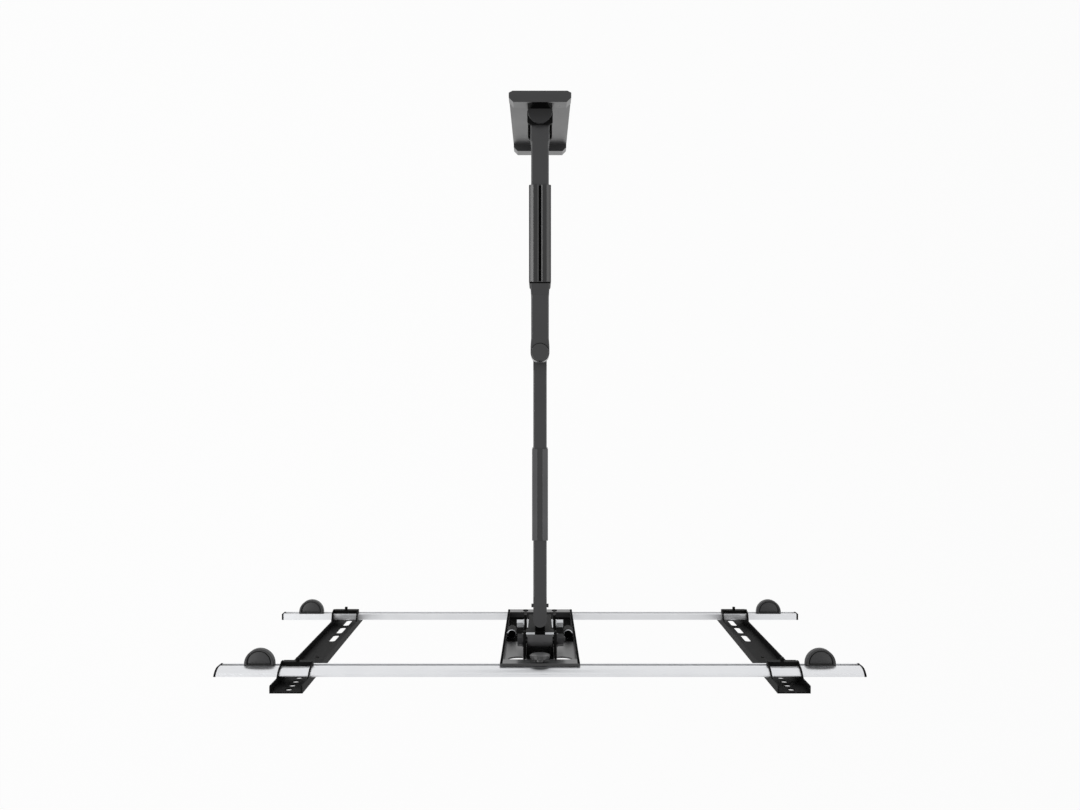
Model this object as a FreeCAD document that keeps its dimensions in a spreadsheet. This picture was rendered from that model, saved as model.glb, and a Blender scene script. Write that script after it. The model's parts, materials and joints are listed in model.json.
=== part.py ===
import FreeCAD, Part
import os
import re
import Sketcher

# A full-motion wall mount for a television. The wall is the plane Y = 0, the mount reaches out along -Y,
# +X is to the right and +Z is up. The origin is the centre of the wall plate's back face.
# A "reach" below is a distance from the wall.

SIZES = {
    # wall plate, its caps and the yoke welded to it
    "plate_width": 70,
    "plate_height": 250,
    "plate_thickness": 4.6,
    "plate_bevel_width": 4.4,
    "plate_bevel_depth": 2.2,
    "wall_bolt_spacing_x": 40,
    "wall_bolt_edge": 12,
    "wall_bolt_spacing_z": "=plate_height - 2*wall_bolt_edge",
    "wall_bolt_hole_radius": 4.5,
    "cap_height": 23,
    "cap_depth": 8.1,
    "cap_chamfer": 5,
    "cap_wall": 2,
    "cap_notch_gap": 1,
    "yoke_width": 28.6,
    "yoke_sheet": 5,
    "yoke_end": 12,
    "yoke_round": 7,
    "wall_pivot_reach": 24,
    "pin_head_radius": 11.1,
    "pin_head_height": 4,
    "pin_head_flat": 3.6,
    "pin_head_rim": 0.9,
    "pin_recess": 3,
    "pin_lid_radius": 13.7,
    "pin_lid_back": 1.4,
    "pin_lid_rise": 0.8,
    # fits shared by all pivots
    "fit_gap": 0.05,
    "slide_gap": 0.2,
    "pivot_radius": 5,
    "bush_wall": 1.4,
    "bush_length": 12,
    "thrust_washer_height": 1,
    "thrust_washer_radius": 10.5,
    "pivot_nut_flats": 17,
    "pivot_nut_height": 8,
    "thread_end": 2,
    # inner arm
    "arm_drop": 10,
    "inner_arm_top": "=plate_height/2 - arm_drop",
    "inner_arm_height": 60,
    "inner_arm_width": 20,
    "inner_arm_length": 268,
    "tube_wall": 2,
    "wall_knuckle_radius": 10.65,
    "wall_knuckle_length": 30,
    "knuckle_taper": 8,
    "elbow_knuckle_radius": 10.7,
    "elbow_knuckle_length": 15,
    "elbow_head_radius": 10.4,
    "elbow_head_height": 3,
    # cable covers, measured from the pivot at the arm's wall end
    "cover_length": 110,
    "cover_gap": 0.15,
    "inner_cover_start": 79,
    "inner_cover_width": 23.4,
    "inner_cover_top_wall": 1.9,
    "inner_cover_floor": 1.2,
    "inner_cover_round": 4,
    "inner_cover_slit": 3.3,
    "collar_length": 14,
    "collar_wall": 0.8,
    "collar_round": 1.5,
    "outer_cover_start": 110.5,
    "outer_cover_width": 18.9,
    "outer_cover_crown": 0.8,
    "outer_cover_rib": 0.8,
    "outer_cover_rib_width": 5.2,
    "outer_cover_mouth": 8,
    # outer arm, which passes under the inner arm
    "arm_gap": 4,
    "outer_arm_height": 50,
    "outer_arm_width": 16,
    "outer_arm_length": 316,
    "outer_knuckle_length": 18,
    "fork_length": 28,
    "fork_ear": 7,
    "fork_mouth": 9,
    "swivel_bolt_radius": 4,
    "swivel_bolt_skin": 2,
    "small_bolt_flats": 13,
    "small_bolt_head": 5.3,
    "cross_pin_radius": 2.2,
    "cross_pin_stand": 2.4,
    "cross_pin_back": 13.5,
    # swivel head
    "swivel_barrel_radius": 7,
    "swivel_neck_width": 12,
    "swivel_neck_drop": 12,
    "bracket_ahead": 14,
    "bracket_sheet": 3,
    "bracket_head_width": 33.4,
    "bracket_head_height": 19,
    "bracket_top_drop": 2,
    "ear_outer_x": 14.2,
    "ear_end_radius": 5.5,
    "ear_tail": 7,
    "tilt_barrel_radius": 8,
    "tilt_barrel_length": 29.8,
    "tilt_drop": 10,
    "guide_drop": 91,
    "guide_bolt_radius": 3,
    "guide_spacer_radius": 5.8,
    "guide_flange_radius": 6,
    "guide_flange_height": 1.4,
    "guide_nut_flats": 10,
    "guide_nut_height": 8.2,
    # carrier
    "tilt_plate_inner_x": 17,
    "tilt_plate_sheet": 3,
    "tilt_plate_end_radius": 11,
    "tilt_plate_strip": 12,
    "tilt_plate_foot": 15,
    "tilt_forward_deg": 10,
    "tilt_back_deg": 5,
    "guide_slot_gap": 0.3,
    "guide_slot_margin": 3,
    "tilt_washer_radius": 8,
    "tilt_washer_height": 1.6,
    "tilt_nut_height": 6.5,
    "carrier_width": 92,
    "carrier_sheet": 3,
    "carrier_web_sheet": 2,
    "carrier_window_radius": 13,
    "carrier_window_x": 26,
    "carrier_window_above": 2,
    "tab_gap": 0.5,
    "tab_overlap": 17,
    "web_setback": 4.3,
    "sleeve_radius": 6.2,
    "sleeve_bore_radius": 3.2,
    "sleeve_length": 27,
    "sleeve_x": 36.6,
    "sleeve_drop": 119.5,
    "carrier_screw_x": 20.7,
    "carrier_screw_radius": 2.5,
    "carrier_screw_head_radius": 4.6,
    "carrier_screw_head": 2.8,
    "slide_nut_half_height": 4.7,
    "slide_nut_thickness": 2.6,
    "knob_radius": 11.5,
    "knob_thickness": 4.3,
    "knob_hub_radius": 6,
    "knob_hub_length": 4,
    "knob_stud_radius": 3,
    "knob_clearance": 0.3,
    # rails
    "rail_ahead": 18.1,
    "rail_length": 740,
    "rail_depth": 8.5,
    "rail_height": 30,
    "rail_shoulder": 15,
    "rail_crest": 1.5,
    "top_rail_above": 39,
    "rail_spacing": 286,
    "slot_offset": 8.5,
    "slot_mouth": 6,
    "slot_lip": 2,
    "slot_depth": 5,
    "slot_width": 10,
    "end_cap_thickness": 2.5,
    "end_plug_length": 8,
    "top_bumper_inset": 47,
    "bottom_bumper_inset": 41,
    "bumper_radius": 17.2,
    "bumper_reach": 19,
    "bumper_thickness": 9.5,
    "bumper_rim": 3,
    "bumper_recess": 1.2,
    "bumper_plug_width": 18,
    # columns
    "column_inset": 91.4,
    "column_spacing": "=rail_length - 2*column_inset",
    "column_shift": 0.65,
    "column_width": 36.5,
    "column_sheet": 1.5,
    "column_gap": 7.4,
    "column_rise": 35.5,
    "column_tail": 26,
    "flange_chamfer": 1,
    "hook_gap": 0.4,
    "hook_depth": 5.2,
    "hook_strap": 1.8,
    "hook_rise": 10,
    "hook_end": 1,
    "column_hole_radius": 4.2,
    "column_hole_drop": 12,
    "column_hole_pitch": 16.667,
    "column_pin_hole_radius": 2.5,
    "column_pin_hole_drop": 160,
    "column_slot_length": 40,
    "column_slot_radius": 4.25,
    "column_slot_pitch": 50,
    "column_slot_lift": 39.3,
    "clamp_bar_thickness": 4.2,
    "clamp_bar_height": 10,
    "clamp_screw_radius": 2,
    "clamp_screw_stand": 4,
    "slide_nut_half_length": 10,
}

COLUMN_HOLES = 4
COLUMN_SLOTS = 3
TOP_SLIDE_NUT_HALF = 12

doc = FreeCAD.newDocument("tv_mount")
sheet = doc.addObject("Spreadsheet::Sheet", "Sizes")
for row, (alias, size) in enumerate(SIZES.items(), start=1):
    sheet.set(f"A{row}", alias)
    sheet.set(f"B{row}", str(size))
    sheet.setAlias(f"B{row}", alias)
doc.recompute()

# Places worked out from the driving sizes
ELBOW = "(wall_pivot_reach + inner_arm_length)"
SWIVEL = f"({ELBOW} + outer_arm_length)"
INNER_BOTTOM = "(inner_arm_top - inner_arm_height)"
OUTER_TOP = f"({INNER_BOTTOM} - arm_gap)"
OUTER_BOTTOM = f"({OUTER_TOP} - outer_arm_height)"
BRACKET_REAR = f"({SWIVEL} + bracket_ahead)"
BRACKET_FRONT = f"({BRACKET_REAR} + bracket_sheet)"
TILT = f"({BRACKET_FRONT} + tilt_barrel_radius)"
TILT_Z = f"({OUTER_TOP} - tilt_drop)"
GUIDE_Z = f"({TILT_Z} - guide_drop)"
RAIL_REAR = f"({TILT} + rail_ahead)"
RAIL_FRONT = f"({RAIL_REAR} + rail_depth)"
TAB_FRONT = f"({RAIL_REAR} - tab_gap)"
TAB_REAR = f"({TAB_FRONT} - carrier_sheet)"
WEB_REAR = f"({RAIL_REAR} + web_setback)"
TOP_EDGE = f"({TILT_Z} + top_rail_above)"
BOTTOM_EDGE = f"({TOP_EDGE} - rail_spacing)"
TOP_SLOT = f"({TOP_EDGE} + slot_offset)"
BOTTOM_SLOT = f"({BOTTOM_EDGE} - slot_offset)"
NUT_REAR = f"({RAIL_REAR} + slot_lip + slide_gap)"
COLUMN_REAR = f"({RAIL_FRONT} + column_gap)"
COLUMN_FRONT = f"({COLUMN_REAR} + column_sheet)"
COLUMN_TOP = f"({TOP_EDGE} + rail_height + column_rise)"
COLUMN_BOTTOM = f"({BOTTOM_EDGE} - rail_height - column_tail)"
TILT_PLATE_OUTER = "(tilt_plate_inner_x + tilt_plate_sheet)"

NODES = []


def bound(formula):
    """The formula with each size written as a cell of the sheet."""
    return re.sub(
        "[a-z][a-z_]*",
        lambda word: f"Sizes.{word.group()}" if word.group() in SIZES else word.group(),
        str(formula),
    )


def value(formula):
    """What the formula comes to with the sheet's present sizes."""
    return float(sheet.evalExpression(bound(formula)))


def node(item):
    """Marks a finished sub-part, which is written to a file of its own."""
    NODES.append(item)
    return item


def new_body(label):
    body = doc.addObject("PartDesign::Body", label)
    body.Label = label
    return body


def group(label, bodies):
    """Like pieces kept as separate solids of one node."""
    compound = doc.addObject("Part::Compound", label)
    compound.Label = label
    compound.Links = bodies
    return node(compound)


def circle(u, v, radius):
    return {"circle": (u, v, radius)}


def rectangle(low_u, high_u, low_v, high_v):
    return [(low_u, low_v), (high_u, low_v), (high_u, high_v), (low_u, high_v)]


def hexagon(u, v, flats):
    """A hexagon with the given width across flats and two corners along u."""
    corner = f"({flats})/2/cos(30)"
    return [(f"{u} + {corner}*cos({60 * k})", f"{v} + {corner}*sin({60 * k})") for k in range(6)]


def upright_slot(u, v, length, radius):
    """A round-ended slot along v, centred on u, v."""
    half = f"(({length})/2 - ({radius}))"
    return [
        (f"{u} + {radius}", f"{v} - {half}"),
        (f"{u} + {radius}", f"{v} + {half}", radius, "left"),
        (u, f"{v} + {half} + {radius}", radius, "left"),
        (f"{u} - {radius}", f"{v} + {half}"),
        (f"{u} - {radius}", f"{v} - {half}", radius, "left"),
        (u, f"{v} - {half} - {radius}", radius, "left"),
    ]


def pin_point(sketch, geometry, end, name, place):
    """Fixes one point of a sketch at its two formulas, measured from the sketch's origin."""
    for kind, axis, formula in (("DistanceX", "u", place[0]), ("DistanceY", "v", place[1])):
        index = sketch.addConstraint(
            Sketcher.Constraint(kind, -1, 1, geometry, end, value(formula))
        )
        sketch.renameConstraint(index, f"{name}_{axis}")
        sketch.setExpression(f"Constraints.{name}_{axis}", bound(formula))


def set_radius(sketch, geometry, name, formula):
    index = sketch.addConstraint(Sketcher.Constraint("Radius", geometry, value(formula)))
    sketch.renameConstraint(index, name)
    sketch.setExpression(f"Constraints.{name}", bound(formula))


def draw_circle(sketch, name, place, radius):
    centre = FreeCAD.Vector(value(place[0]), value(place[1]), 0)
    ring = Part.Circle(centre, FreeCAD.Vector(0, 0, 1), value(radius))
    geometry = sketch.addGeometry(ring, False)
    pin_point(sketch, geometry, 3, name, place)
    set_radius(sketch, geometry, f"{name}_radius", radius)


def arc_between(start, end, radius, turns_left):
    """The shorter arc from start to end that turns left or right on its way."""
    chord = end - start
    across = FreeCAD.Vector(-chord.y, chord.x, 0).normalize()
    rise = max(radius**2 - chord.Length**2 / 4, 0) ** 0.5
    side = 1 if turns_left else -1
    centre = (start + end) * 0.5 + across * (rise * side)
    middle = centre - across * (radius * side)
    return Part.Arc(start, middle, end)


def draw_outline(sketch, name, corners, mirrored):
    """A closed outline. A corner's third and fourth values make the edge that leaves it an arc."""
    places = [(corner[0], corner[1]) for corner in corners]
    points = [FreeCAD.Vector(value(u), value(v), 0) for u, v in places]
    count = len(corners)
    ends = []
    for i, corner in enumerate(corners):
        start, end = points[i], points[(i + 1) % count]
        if len(corner) == 2:
            geometry = sketch.addGeometry(Part.LineSegment(start, end), False)
            ends.append((geometry, 1, 2))
            continue
        turns_left = (corner[3] == "left") != mirrored
        arc = arc_between(start, end, value(corner[2]), turns_left)
        geometry = sketch.addGeometry(arc, False)
        ends.append((geometry, 1, 2) if turns_left else (geometry, 2, 1))
        set_radius(sketch, geometry, f"{name}_{i}_radius", corner[2])
    for i in range(count):
        geometry, first, last = ends[i]
        following, next_first, _ = ends[(i + 1) % count]
        sketch.addConstraint(
            Sketcher.Constraint("Coincident", geometry, last, following, next_first)
        )
        pin_point(sketch, geometry, first, f"{name}_{i}", places[i])


def profile(body, plane, start, loops):
    """A sketch of closed loops on one of the body's planes, moved along that plane's normal to start.

    Loops are given as (x, reach) on XY, (x, z) on XZ and (reach, z) on YZ. The reach runs along -Y, so
    XY and YZ loops are mirrored. An XY sketch starts at a height, XZ at a reach and YZ at an x.
    """
    sketch = body.newObject("Sketcher::SketchObject", f"{body.Label}_sketch")
    base = next(f for f in body.Origin.OriginFeatures if f.Role == f"{plane}_Plane")
    sketch.AttachmentSupport = [(base, "")]
    sketch.MapMode = "FlatFace"
    sketch.setExpression("AttachmentOffset.Base.z", bound(start))
    mirrored = plane != "XZ"

    def turned(corner):
        u, v = corner[0], corner[1]
        if plane == "XY":
            v = f"-({v})"
        if plane == "YZ":
            u = f"-({u})"
        return (u, v, *corner[2:])

    for number, loop in enumerate(loops):
        name = f"loop{number}"
        if isinstance(loop, dict):
            u, v, radius = loop["circle"]
            draw_circle(sketch, name, turned((u, v)), radius)
        else:
            draw_outline(sketch, name, [turned(corner) for corner in loop], mirrored)
    return sketch


def pad(body, plane, start, length, loops):
    """Adds a straight block of the given outline to a body."""
    feature = body.newObject("PartDesign::Pad", f"{body.Label}_pad")
    feature.Profile = profile(body, plane, start, loops)
    feature.setExpression("Length", bound(length))
    body.Tip = feature
    return feature


def pocket(body, plane, start, length, loops):
    """Takes a straight block of the given outline out of a body."""
    feature = body.newObject("PartDesign::Pocket", f"{body.Label}_pocket")
    feature.Profile = profile(body, plane, start, loops)
    feature.setExpression("Length", bound(length))
    feature.Reversed = True
    body.Tip = feature
    return feature


def block(label, plane, start, length, loops):
    """A body of one straight block."""
    body = new_body(label)
    pad(body, plane, start, length, loops)
    return body


# Wall plate: pressed steel with bevelled back edges, bolted to the wall through holes that the caps hide
def wall_plate():
    holes = [
        circle(f"{x}*wall_bolt_spacing_x/2", f"{z}*wall_bolt_spacing_z/2", "wall_bolt_hole_radius")
        for x in (-1, 1)
        for z in (-1, 1)
    ]
    half = "plate_width/2"
    inset = "(plate_width/2 - plate_bevel_width)"
    plan = [
        (f"-{inset}", "0"),
        (inset, "0"),
        (half, "plate_bevel_depth"),
        (half, "plate_thickness"),
        (f"-{half}", "plate_thickness"),
        (f"-{half}", "plate_bevel_depth"),
    ]
    plate = block("wall_plate", "XY", "-plate_height/2", "plate_height", [plan])
    pocket(plate, "XZ", "0", "plate_thickness", holes)
    node(plate)


YOKE_TOP = "(inner_arm_top + thrust_washer_height + yoke_sheet)"
YOKE_BOTTOM = f"({INNER_BOTTOM} - thrust_washer_height - yoke_sheet)"
CAP_FRONT = "(plate_thickness + cap_depth)"


def cap_outline(inset):
    """The cap's plan: square against the plate, with its two front corners cut off."""
    side = f"(plate_width/2 - {inset})"
    front = f"({CAP_FRONT} - {inset})"
    return [
        (f"-{side}", "plate_thickness"),
        (side, "plate_thickness"),
        (side, f"{front} - cap_chamfer"),
        (f"{side} - cap_chamfer", front),
        (f"-({side} - cap_chamfer)", front),
        (f"-{side}", f"{front} - cap_chamfer"),
    ]


# Wall caps: hollow mouldings over the bolt heads. The upper one is notched over the yoke
def wall_caps():
    inner_height = "cap_height - 2*cap_wall"
    upper = new_body("upper_wall_cap")
    foot = "plate_height/2 - cap_height"
    pad(upper, "XY", foot, "cap_height", [cap_outline("0")])
    pocket(upper, "XY", f"{foot} + cap_wall", inner_height, [cap_outline("cap_wall")])
    notch_half = "(yoke_width/2 + cap_notch_gap)"
    notch = rectangle(f"-{notch_half}", notch_half, "plate_thickness", CAP_FRONT)
    pocket(upper, "XY", foot, f"{YOKE_TOP} + cap_notch_gap - ({foot})", [notch])
    node(upper)
    lower = new_body("lower_wall_cap")
    pad(lower, "XY", "-plate_height/2", "cap_height", [cap_outline("0")])
    pocket(lower, "XY", "-plate_height/2 + cap_wall", inner_height, [cap_outline("cap_wall")])
    node(lower)


# Wall yoke: a folded steel U whose round ears hold the wall pivot pin
def wall_yoke():
    yoke = new_body("wall_yoke")
    half = "yoke_width/2"
    back = rectangle(f"-{half}", half, YOKE_BOTTOM, YOKE_TOP)
    pad(yoke, "XZ", "plate_thickness", "yoke_sheet", [back])
    end = "wall_pivot_reach + yoke_end"
    ear = [
        (half, "plate_thickness"),
        (half, f"{end} - yoke_round", "yoke_round", "left"),
        (f"{half} - yoke_round", end),
        (f"-({half} - yoke_round)", end, "yoke_round", "left"),
        (f"-{half}", f"{end} - yoke_round"),
        (f"-{half}", "plate_thickness"),
    ]
    hole = circle("0", "wall_pivot_reach", "pivot_radius + fit_gap")
    pad(yoke, "XY", YOKE_BOTTOM, "yoke_sheet", [ear, hole])
    pad(yoke, "XY", f"{YOKE_TOP} - yoke_sheet", "yoke_sheet", [ear, hole])
    node(yoke)


# Wall pivot: a round-headed pin whose head is half sunk and half under a D-shaped lid, a nut below and
# washers beside the arm
def wall_pivot():
    pin = new_body("wall_pivot_pin")
    pad(pin, "XY", YOKE_TOP, "pin_head_height", [circle("0", "wall_pivot_reach", "pin_head_radius")])
    flat = "wall_pivot_reach - pin_head_flat"
    inside = "(pin_head_radius - pin_head_rim)"
    chord = f"sqrt({inside}^2 - pin_head_flat^2)"
    sunk = [
        (chord, flat, inside, "right"),
        ("0", f"wall_pivot_reach - {inside}", inside, "right"),
        (f"-{chord}", flat),
    ]
    pocket(pin, "XY", f"{YOKE_TOP} + pin_head_height - pin_recess", "pin_recess", [sunk])
    centre = "(wall_pivot_reach - pin_lid_back)"
    chord = "sqrt(pin_lid_radius^2 - (pin_head_flat - pin_lid_back)^2)"
    lid = [
        (chord, flat, "pin_lid_radius", "left"),
        ("pin_lid_radius", centre, "pin_lid_radius", "left"),
        ("0", f"{centre} + pin_lid_radius", "pin_lid_radius", "left"),
        ("-pin_lid_radius", centre, "pin_lid_radius", "left"),
        (f"-{chord}", flat),
    ]
    pad(pin, "XY", YOKE_TOP, "pin_head_height + pin_lid_rise", [lid])
    shank = circle("0", "wall_pivot_reach", "pivot_radius")
    foot = f"{YOKE_BOTTOM} - pivot_nut_height - thread_end"
    pad(pin, "XY", foot, f"{YOKE_TOP} - ({foot})", [shank])
    node(pin)
    hole = circle("0", "wall_pivot_reach", "pivot_radius + fit_gap")
    nut = hexagon("0", "wall_pivot_reach", "pivot_nut_flats")
    nut_foot = f"{YOKE_BOTTOM} - pivot_nut_height"
    node(block("wall_pivot_nut", "XY", nut_foot, "pivot_nut_height", [nut, hole]))
    rim = circle("0", "wall_pivot_reach", "thrust_washer_radius")
    group(
        "wall_pivot_washers",
        [
            block(f"wall_pivot_washer_{name}", "XY", foot, "thrust_washer_height", [rim, hole])
            for name, foot in (
                ("upper", "inner_arm_top"),
                ("lower", f"{INNER_BOTTOM} - thrust_washer_height"),
            )
        ],
    )


BUSH_SEAT = "(pivot_radius + 2*fit_gap + bush_wall)"


def bushes(label, reach, bottom, top):
    """Two plain bushes at the ends of a knuckle's bore."""
    ring = [
        circle("0", reach, "pivot_radius + fit_gap + bush_wall"),
        circle("0", reach, "pivot_radius + fit_gap"),
    ]
    group(
        label,
        [
            block(f"{label}_lower", "XY", bottom, "bush_length", ring),
            block(f"{label}_upper", "XY", f"{top} - bush_length", "bush_length", ring),
        ],
    )


def box_tube(label, width, top, height, start, end):
    """A rectangular tube along the reach."""
    outside = rectangle(f"-{width}/2", f"{width}/2", f"{top} - {height}", top)
    inside = rectangle(
        f"-({width}/2 - tube_wall)",
        f"{width}/2 - tube_wall",
        f"{top} - {height} + tube_wall",
        f"{top} - tube_wall",
    )
    node(block(label, "XZ", start, f"{end} - ({start})", [outside, inside]))


# Inner arm: cast knuckles at both ends of a box tube
def inner_arm():
    tube_start = "(wall_pivot_reach + wall_knuckle_length)"
    tube_end = f"({ELBOW} - elbow_knuckle_length)"
    half = "inner_arm_width/2"
    radius = "wall_knuckle_radius"
    wall_end = [
        (half, tube_start),
        (f"-{half}", tube_start),
        (f"-{radius}", f"{tube_start} - knuckle_taper"),
        (f"-{radius}", "wall_pivot_reach", radius, "left"),
        ("0", f"wall_pivot_reach - {radius}", radius, "left"),
        (radius, "wall_pivot_reach"),
        (radius, f"{tube_start} - knuckle_taper"),
    ]
    bore = circle("0", "wall_pivot_reach", BUSH_SEAT)
    knuckle = block("inner_wall_knuckle", "XY", INNER_BOTTOM, "inner_arm_height", [wall_end, bore])
    node(knuckle)
    bushes("wall_pivot_bushes", "wall_pivot_reach", INNER_BOTTOM, "inner_arm_top")
    box_tube(
        "inner_arm_tube", "inner_arm_width", "inner_arm_top", "inner_arm_height", tube_start, tube_end
    )
    radius = "elbow_knuckle_radius"
    elbow_end = [
        (f"-{half}", tube_end),
        (half, tube_end),
        (radius, f"{tube_end} + knuckle_taper"),
        (radius, ELBOW, radius, "left"),
        ("0", f"{ELBOW} + {radius}", radius, "left"),
        (f"-{radius}", ELBOW),
        (f"-{radius}", f"{tube_end} + knuckle_taper"),
    ]
    bore = circle("0", ELBOW, "pivot_radius + fit_gap")
    knuckle = block("inner_elbow_knuckle", "XY", INNER_BOTTOM, "inner_arm_height", [elbow_end, bore])
    node(knuckle)
    bolt = new_body("elbow_pivot_bolt")
    pad(bolt, "XY", "inner_arm_top", "elbow_head_height", [circle("0", ELBOW, "elbow_head_radius")])
    foot = f"{OUTER_BOTTOM} - pivot_nut_height - thread_end"
    pad(bolt, "XY", foot, f"inner_arm_top - ({foot})", [circle("0", ELBOW, "pivot_radius")])
    node(bolt)
    nut = [hexagon("0", ELBOW, "pivot_nut_flats"), bore]
    nut_foot = f"{OUTER_BOTTOM} - pivot_nut_height"
    node(block("elbow_pivot_nut", "XY", nut_foot, "pivot_nut_height", nut))


def split_sleeve(wall, top_wall, corner):
    """A sleeve's section round the inner tube, open along a slit in its top."""
    inner = "(inner_arm_width/2 + cover_gap)"
    outer = f"({inner} + {wall})"
    inner_top = "(inner_arm_top + cover_gap)"
    top = f"({inner_top} + {top_wall})"
    inner_floor = f"({INNER_BOTTOM} - cover_gap)"
    floor = f"({inner_floor} - inner_cover_floor)"
    slit = "inner_cover_slit/2"
    return [
        (slit, inner_top),
        (slit, top),
        (f"{outer} - {corner}", top, corner, "right"),
        (outer, f"{top} - {corner}"),
        (outer, floor),
        (f"-{outer}", floor),
        (f"-{outer}", f"{top} - {corner}", corner, "right"),
        (f"-({outer} - {corner})", top),
        (f"-{slit}", top),
        (f"-{slit}", inner_top),
        (f"-{inner}", inner_top),
        (f"-{inner}", inner_floor),
        (inner, inner_floor),
        (inner, inner_top),
    ]


# Inner cable cover: a split plastic sleeve with a slimmer collar at its elbow end
def inner_cable_cover():
    cover = new_body("inner_cable_cover")
    start = "(wall_pivot_reach + inner_cover_start)"
    wall = "((inner_cover_width - inner_arm_width)/2 - cover_gap)"
    sleeve = split_sleeve(wall, "inner_cover_top_wall", "inner_cover_round")
    pad(cover, "XZ", start, "cover_length", [sleeve])
    collar = split_sleeve("collar_wall", "collar_wall", "collar_round")
    pad(cover, "XZ", f"{start} + cover_length", "collar_length", [collar])
    node(cover)


# Outer arm: a slimmer box tube with a knuckle under the elbow and a fork at the television end
def outer_arm():
    half = "outer_arm_width/2"
    tube_start = f"({ELBOW} + outer_knuckle_length)"
    tube_end = f"({SWIVEL} - fork_length)"
    elbow_end = [
        (half, tube_start),
        (f"-{half}", tube_start),
        (f"-{half}", ELBOW, half, "left"),
        ("0", f"{ELBOW} - {half}", half, "left"),
        (half, ELBOW),
    ]
    bore = circle("0", ELBOW, BUSH_SEAT)
    knuckle = block("outer_elbow_knuckle", "XY", OUTER_BOTTOM, "outer_arm_height", [elbow_end, bore])
    node(knuckle)
    bushes("elbow_bushes", ELBOW, OUTER_BOTTOM, OUTER_TOP)
    washer = [circle("0", ELBOW, half), circle("0", ELBOW, "pivot_radius + fit_gap")]
    node(block("elbow_washer", "XY", OUTER_TOP, "arm_gap", washer))
    box_tube("outer_arm_tube", "outer_arm_width", OUTER_TOP, "outer_arm_height", tube_start, tube_end)
    fork = new_body("outer_arm_fork")
    plan = [
        (f"-{half}", tube_end),
        (half, tube_end),
        (half, SWIVEL, half, "left"),
        ("0", f"{SWIVEL} + {half}", half, "left"),
        (f"-{half}", SWIVEL),
    ]
    pad(fork, "XY", OUTER_BOTTOM, "outer_arm_height", [plan])
    mouth = rectangle(
        "-outer_arm_width", "outer_arm_width", f"{SWIVEL} - fork_mouth", f"{SWIVEL} + outer_arm_width"
    )
    pocket(fork, "XY", f"{OUTER_BOTTOM} + fork_ear", "outer_arm_height - 2*fork_ear", [mouth])
    bolt_hole = circle("0", SWIVEL, "swivel_bolt_radius + fit_gap")
    pocket(fork, "XY", OUTER_BOTTOM, "outer_arm_height - swivel_bolt_skin", [bolt_hole])
    pin_reach = f"({SWIVEL} - cross_pin_back)"
    pin_height = f"({OUTER_TOP} - outer_arm_height/2)"
    pin_hole = circle(pin_reach, pin_height, "cross_pin_radius + fit_gap")
    pocket(fork, "YZ", "-outer_arm_width", "2*outer_arm_width", [pin_hole])
    node(fork)
    pin_half = "(outer_arm_width/2 + cross_pin_stand)"
    pin = circle(pin_reach, pin_height, "cross_pin_radius")
    node(block("fork_cross_pin", "YZ", f"-{pin_half}", f"2*{pin_half}", [pin]))
    bolt = new_body("swivel_bolt")
    head_foot = f"{OUTER_BOTTOM} - small_bolt_head"
    pad(bolt, "XY", head_foot, "small_bolt_head", [hexagon("0", SWIVEL, "small_bolt_flats")])
    shank = "outer_arm_height - swivel_bolt_skin - slide_gap"
    pad(bolt, "XY", OUTER_BOTTOM, shank, [circle("0", SWIVEL, "swivel_bolt_radius")])
    node(bolt)


# Outer cable cover: a sleeve with two flat ribs on top, open along its underside
def outer_cable_cover():
    inner = "(outer_arm_width/2 + cover_gap)"
    outer = "(outer_cover_width/2)"
    inner_top = f"({OUTER_TOP} + cover_gap)"
    crown = f"({inner_top} + outer_cover_crown)"
    rib = f"({crown} + outer_cover_rib)"
    rib_inner = f"({outer} - outer_cover_rib_width)"
    inner_floor = f"({OUTER_BOTTOM} - cover_gap)"
    floor = f"({inner_floor} - outer_cover_crown)"
    mouth = "outer_cover_mouth/2"
    section = [
        (f"-{rib_inner}", crown),
        (rib_inner, crown),
        (rib_inner, rib),
        (outer, rib),
        (outer, floor),
        (mouth, floor),
        (mouth, inner_floor),
        (inner, inner_floor),
        (inner, inner_top),
        (f"-{inner}", inner_top),
        (f"-{inner}", inner_floor),
        (f"-{mouth}", inner_floor),
        (f"-{mouth}", floor),
        (f"-{outer}", floor),
        (f"-{outer}", rib),
        (f"-{rib_inner}", rib),
    ]
    start = f"{ELBOW} + outer_cover_start"
    node(block("outer_cable_cover", "XZ", start, "cover_length", [section]))


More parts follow.
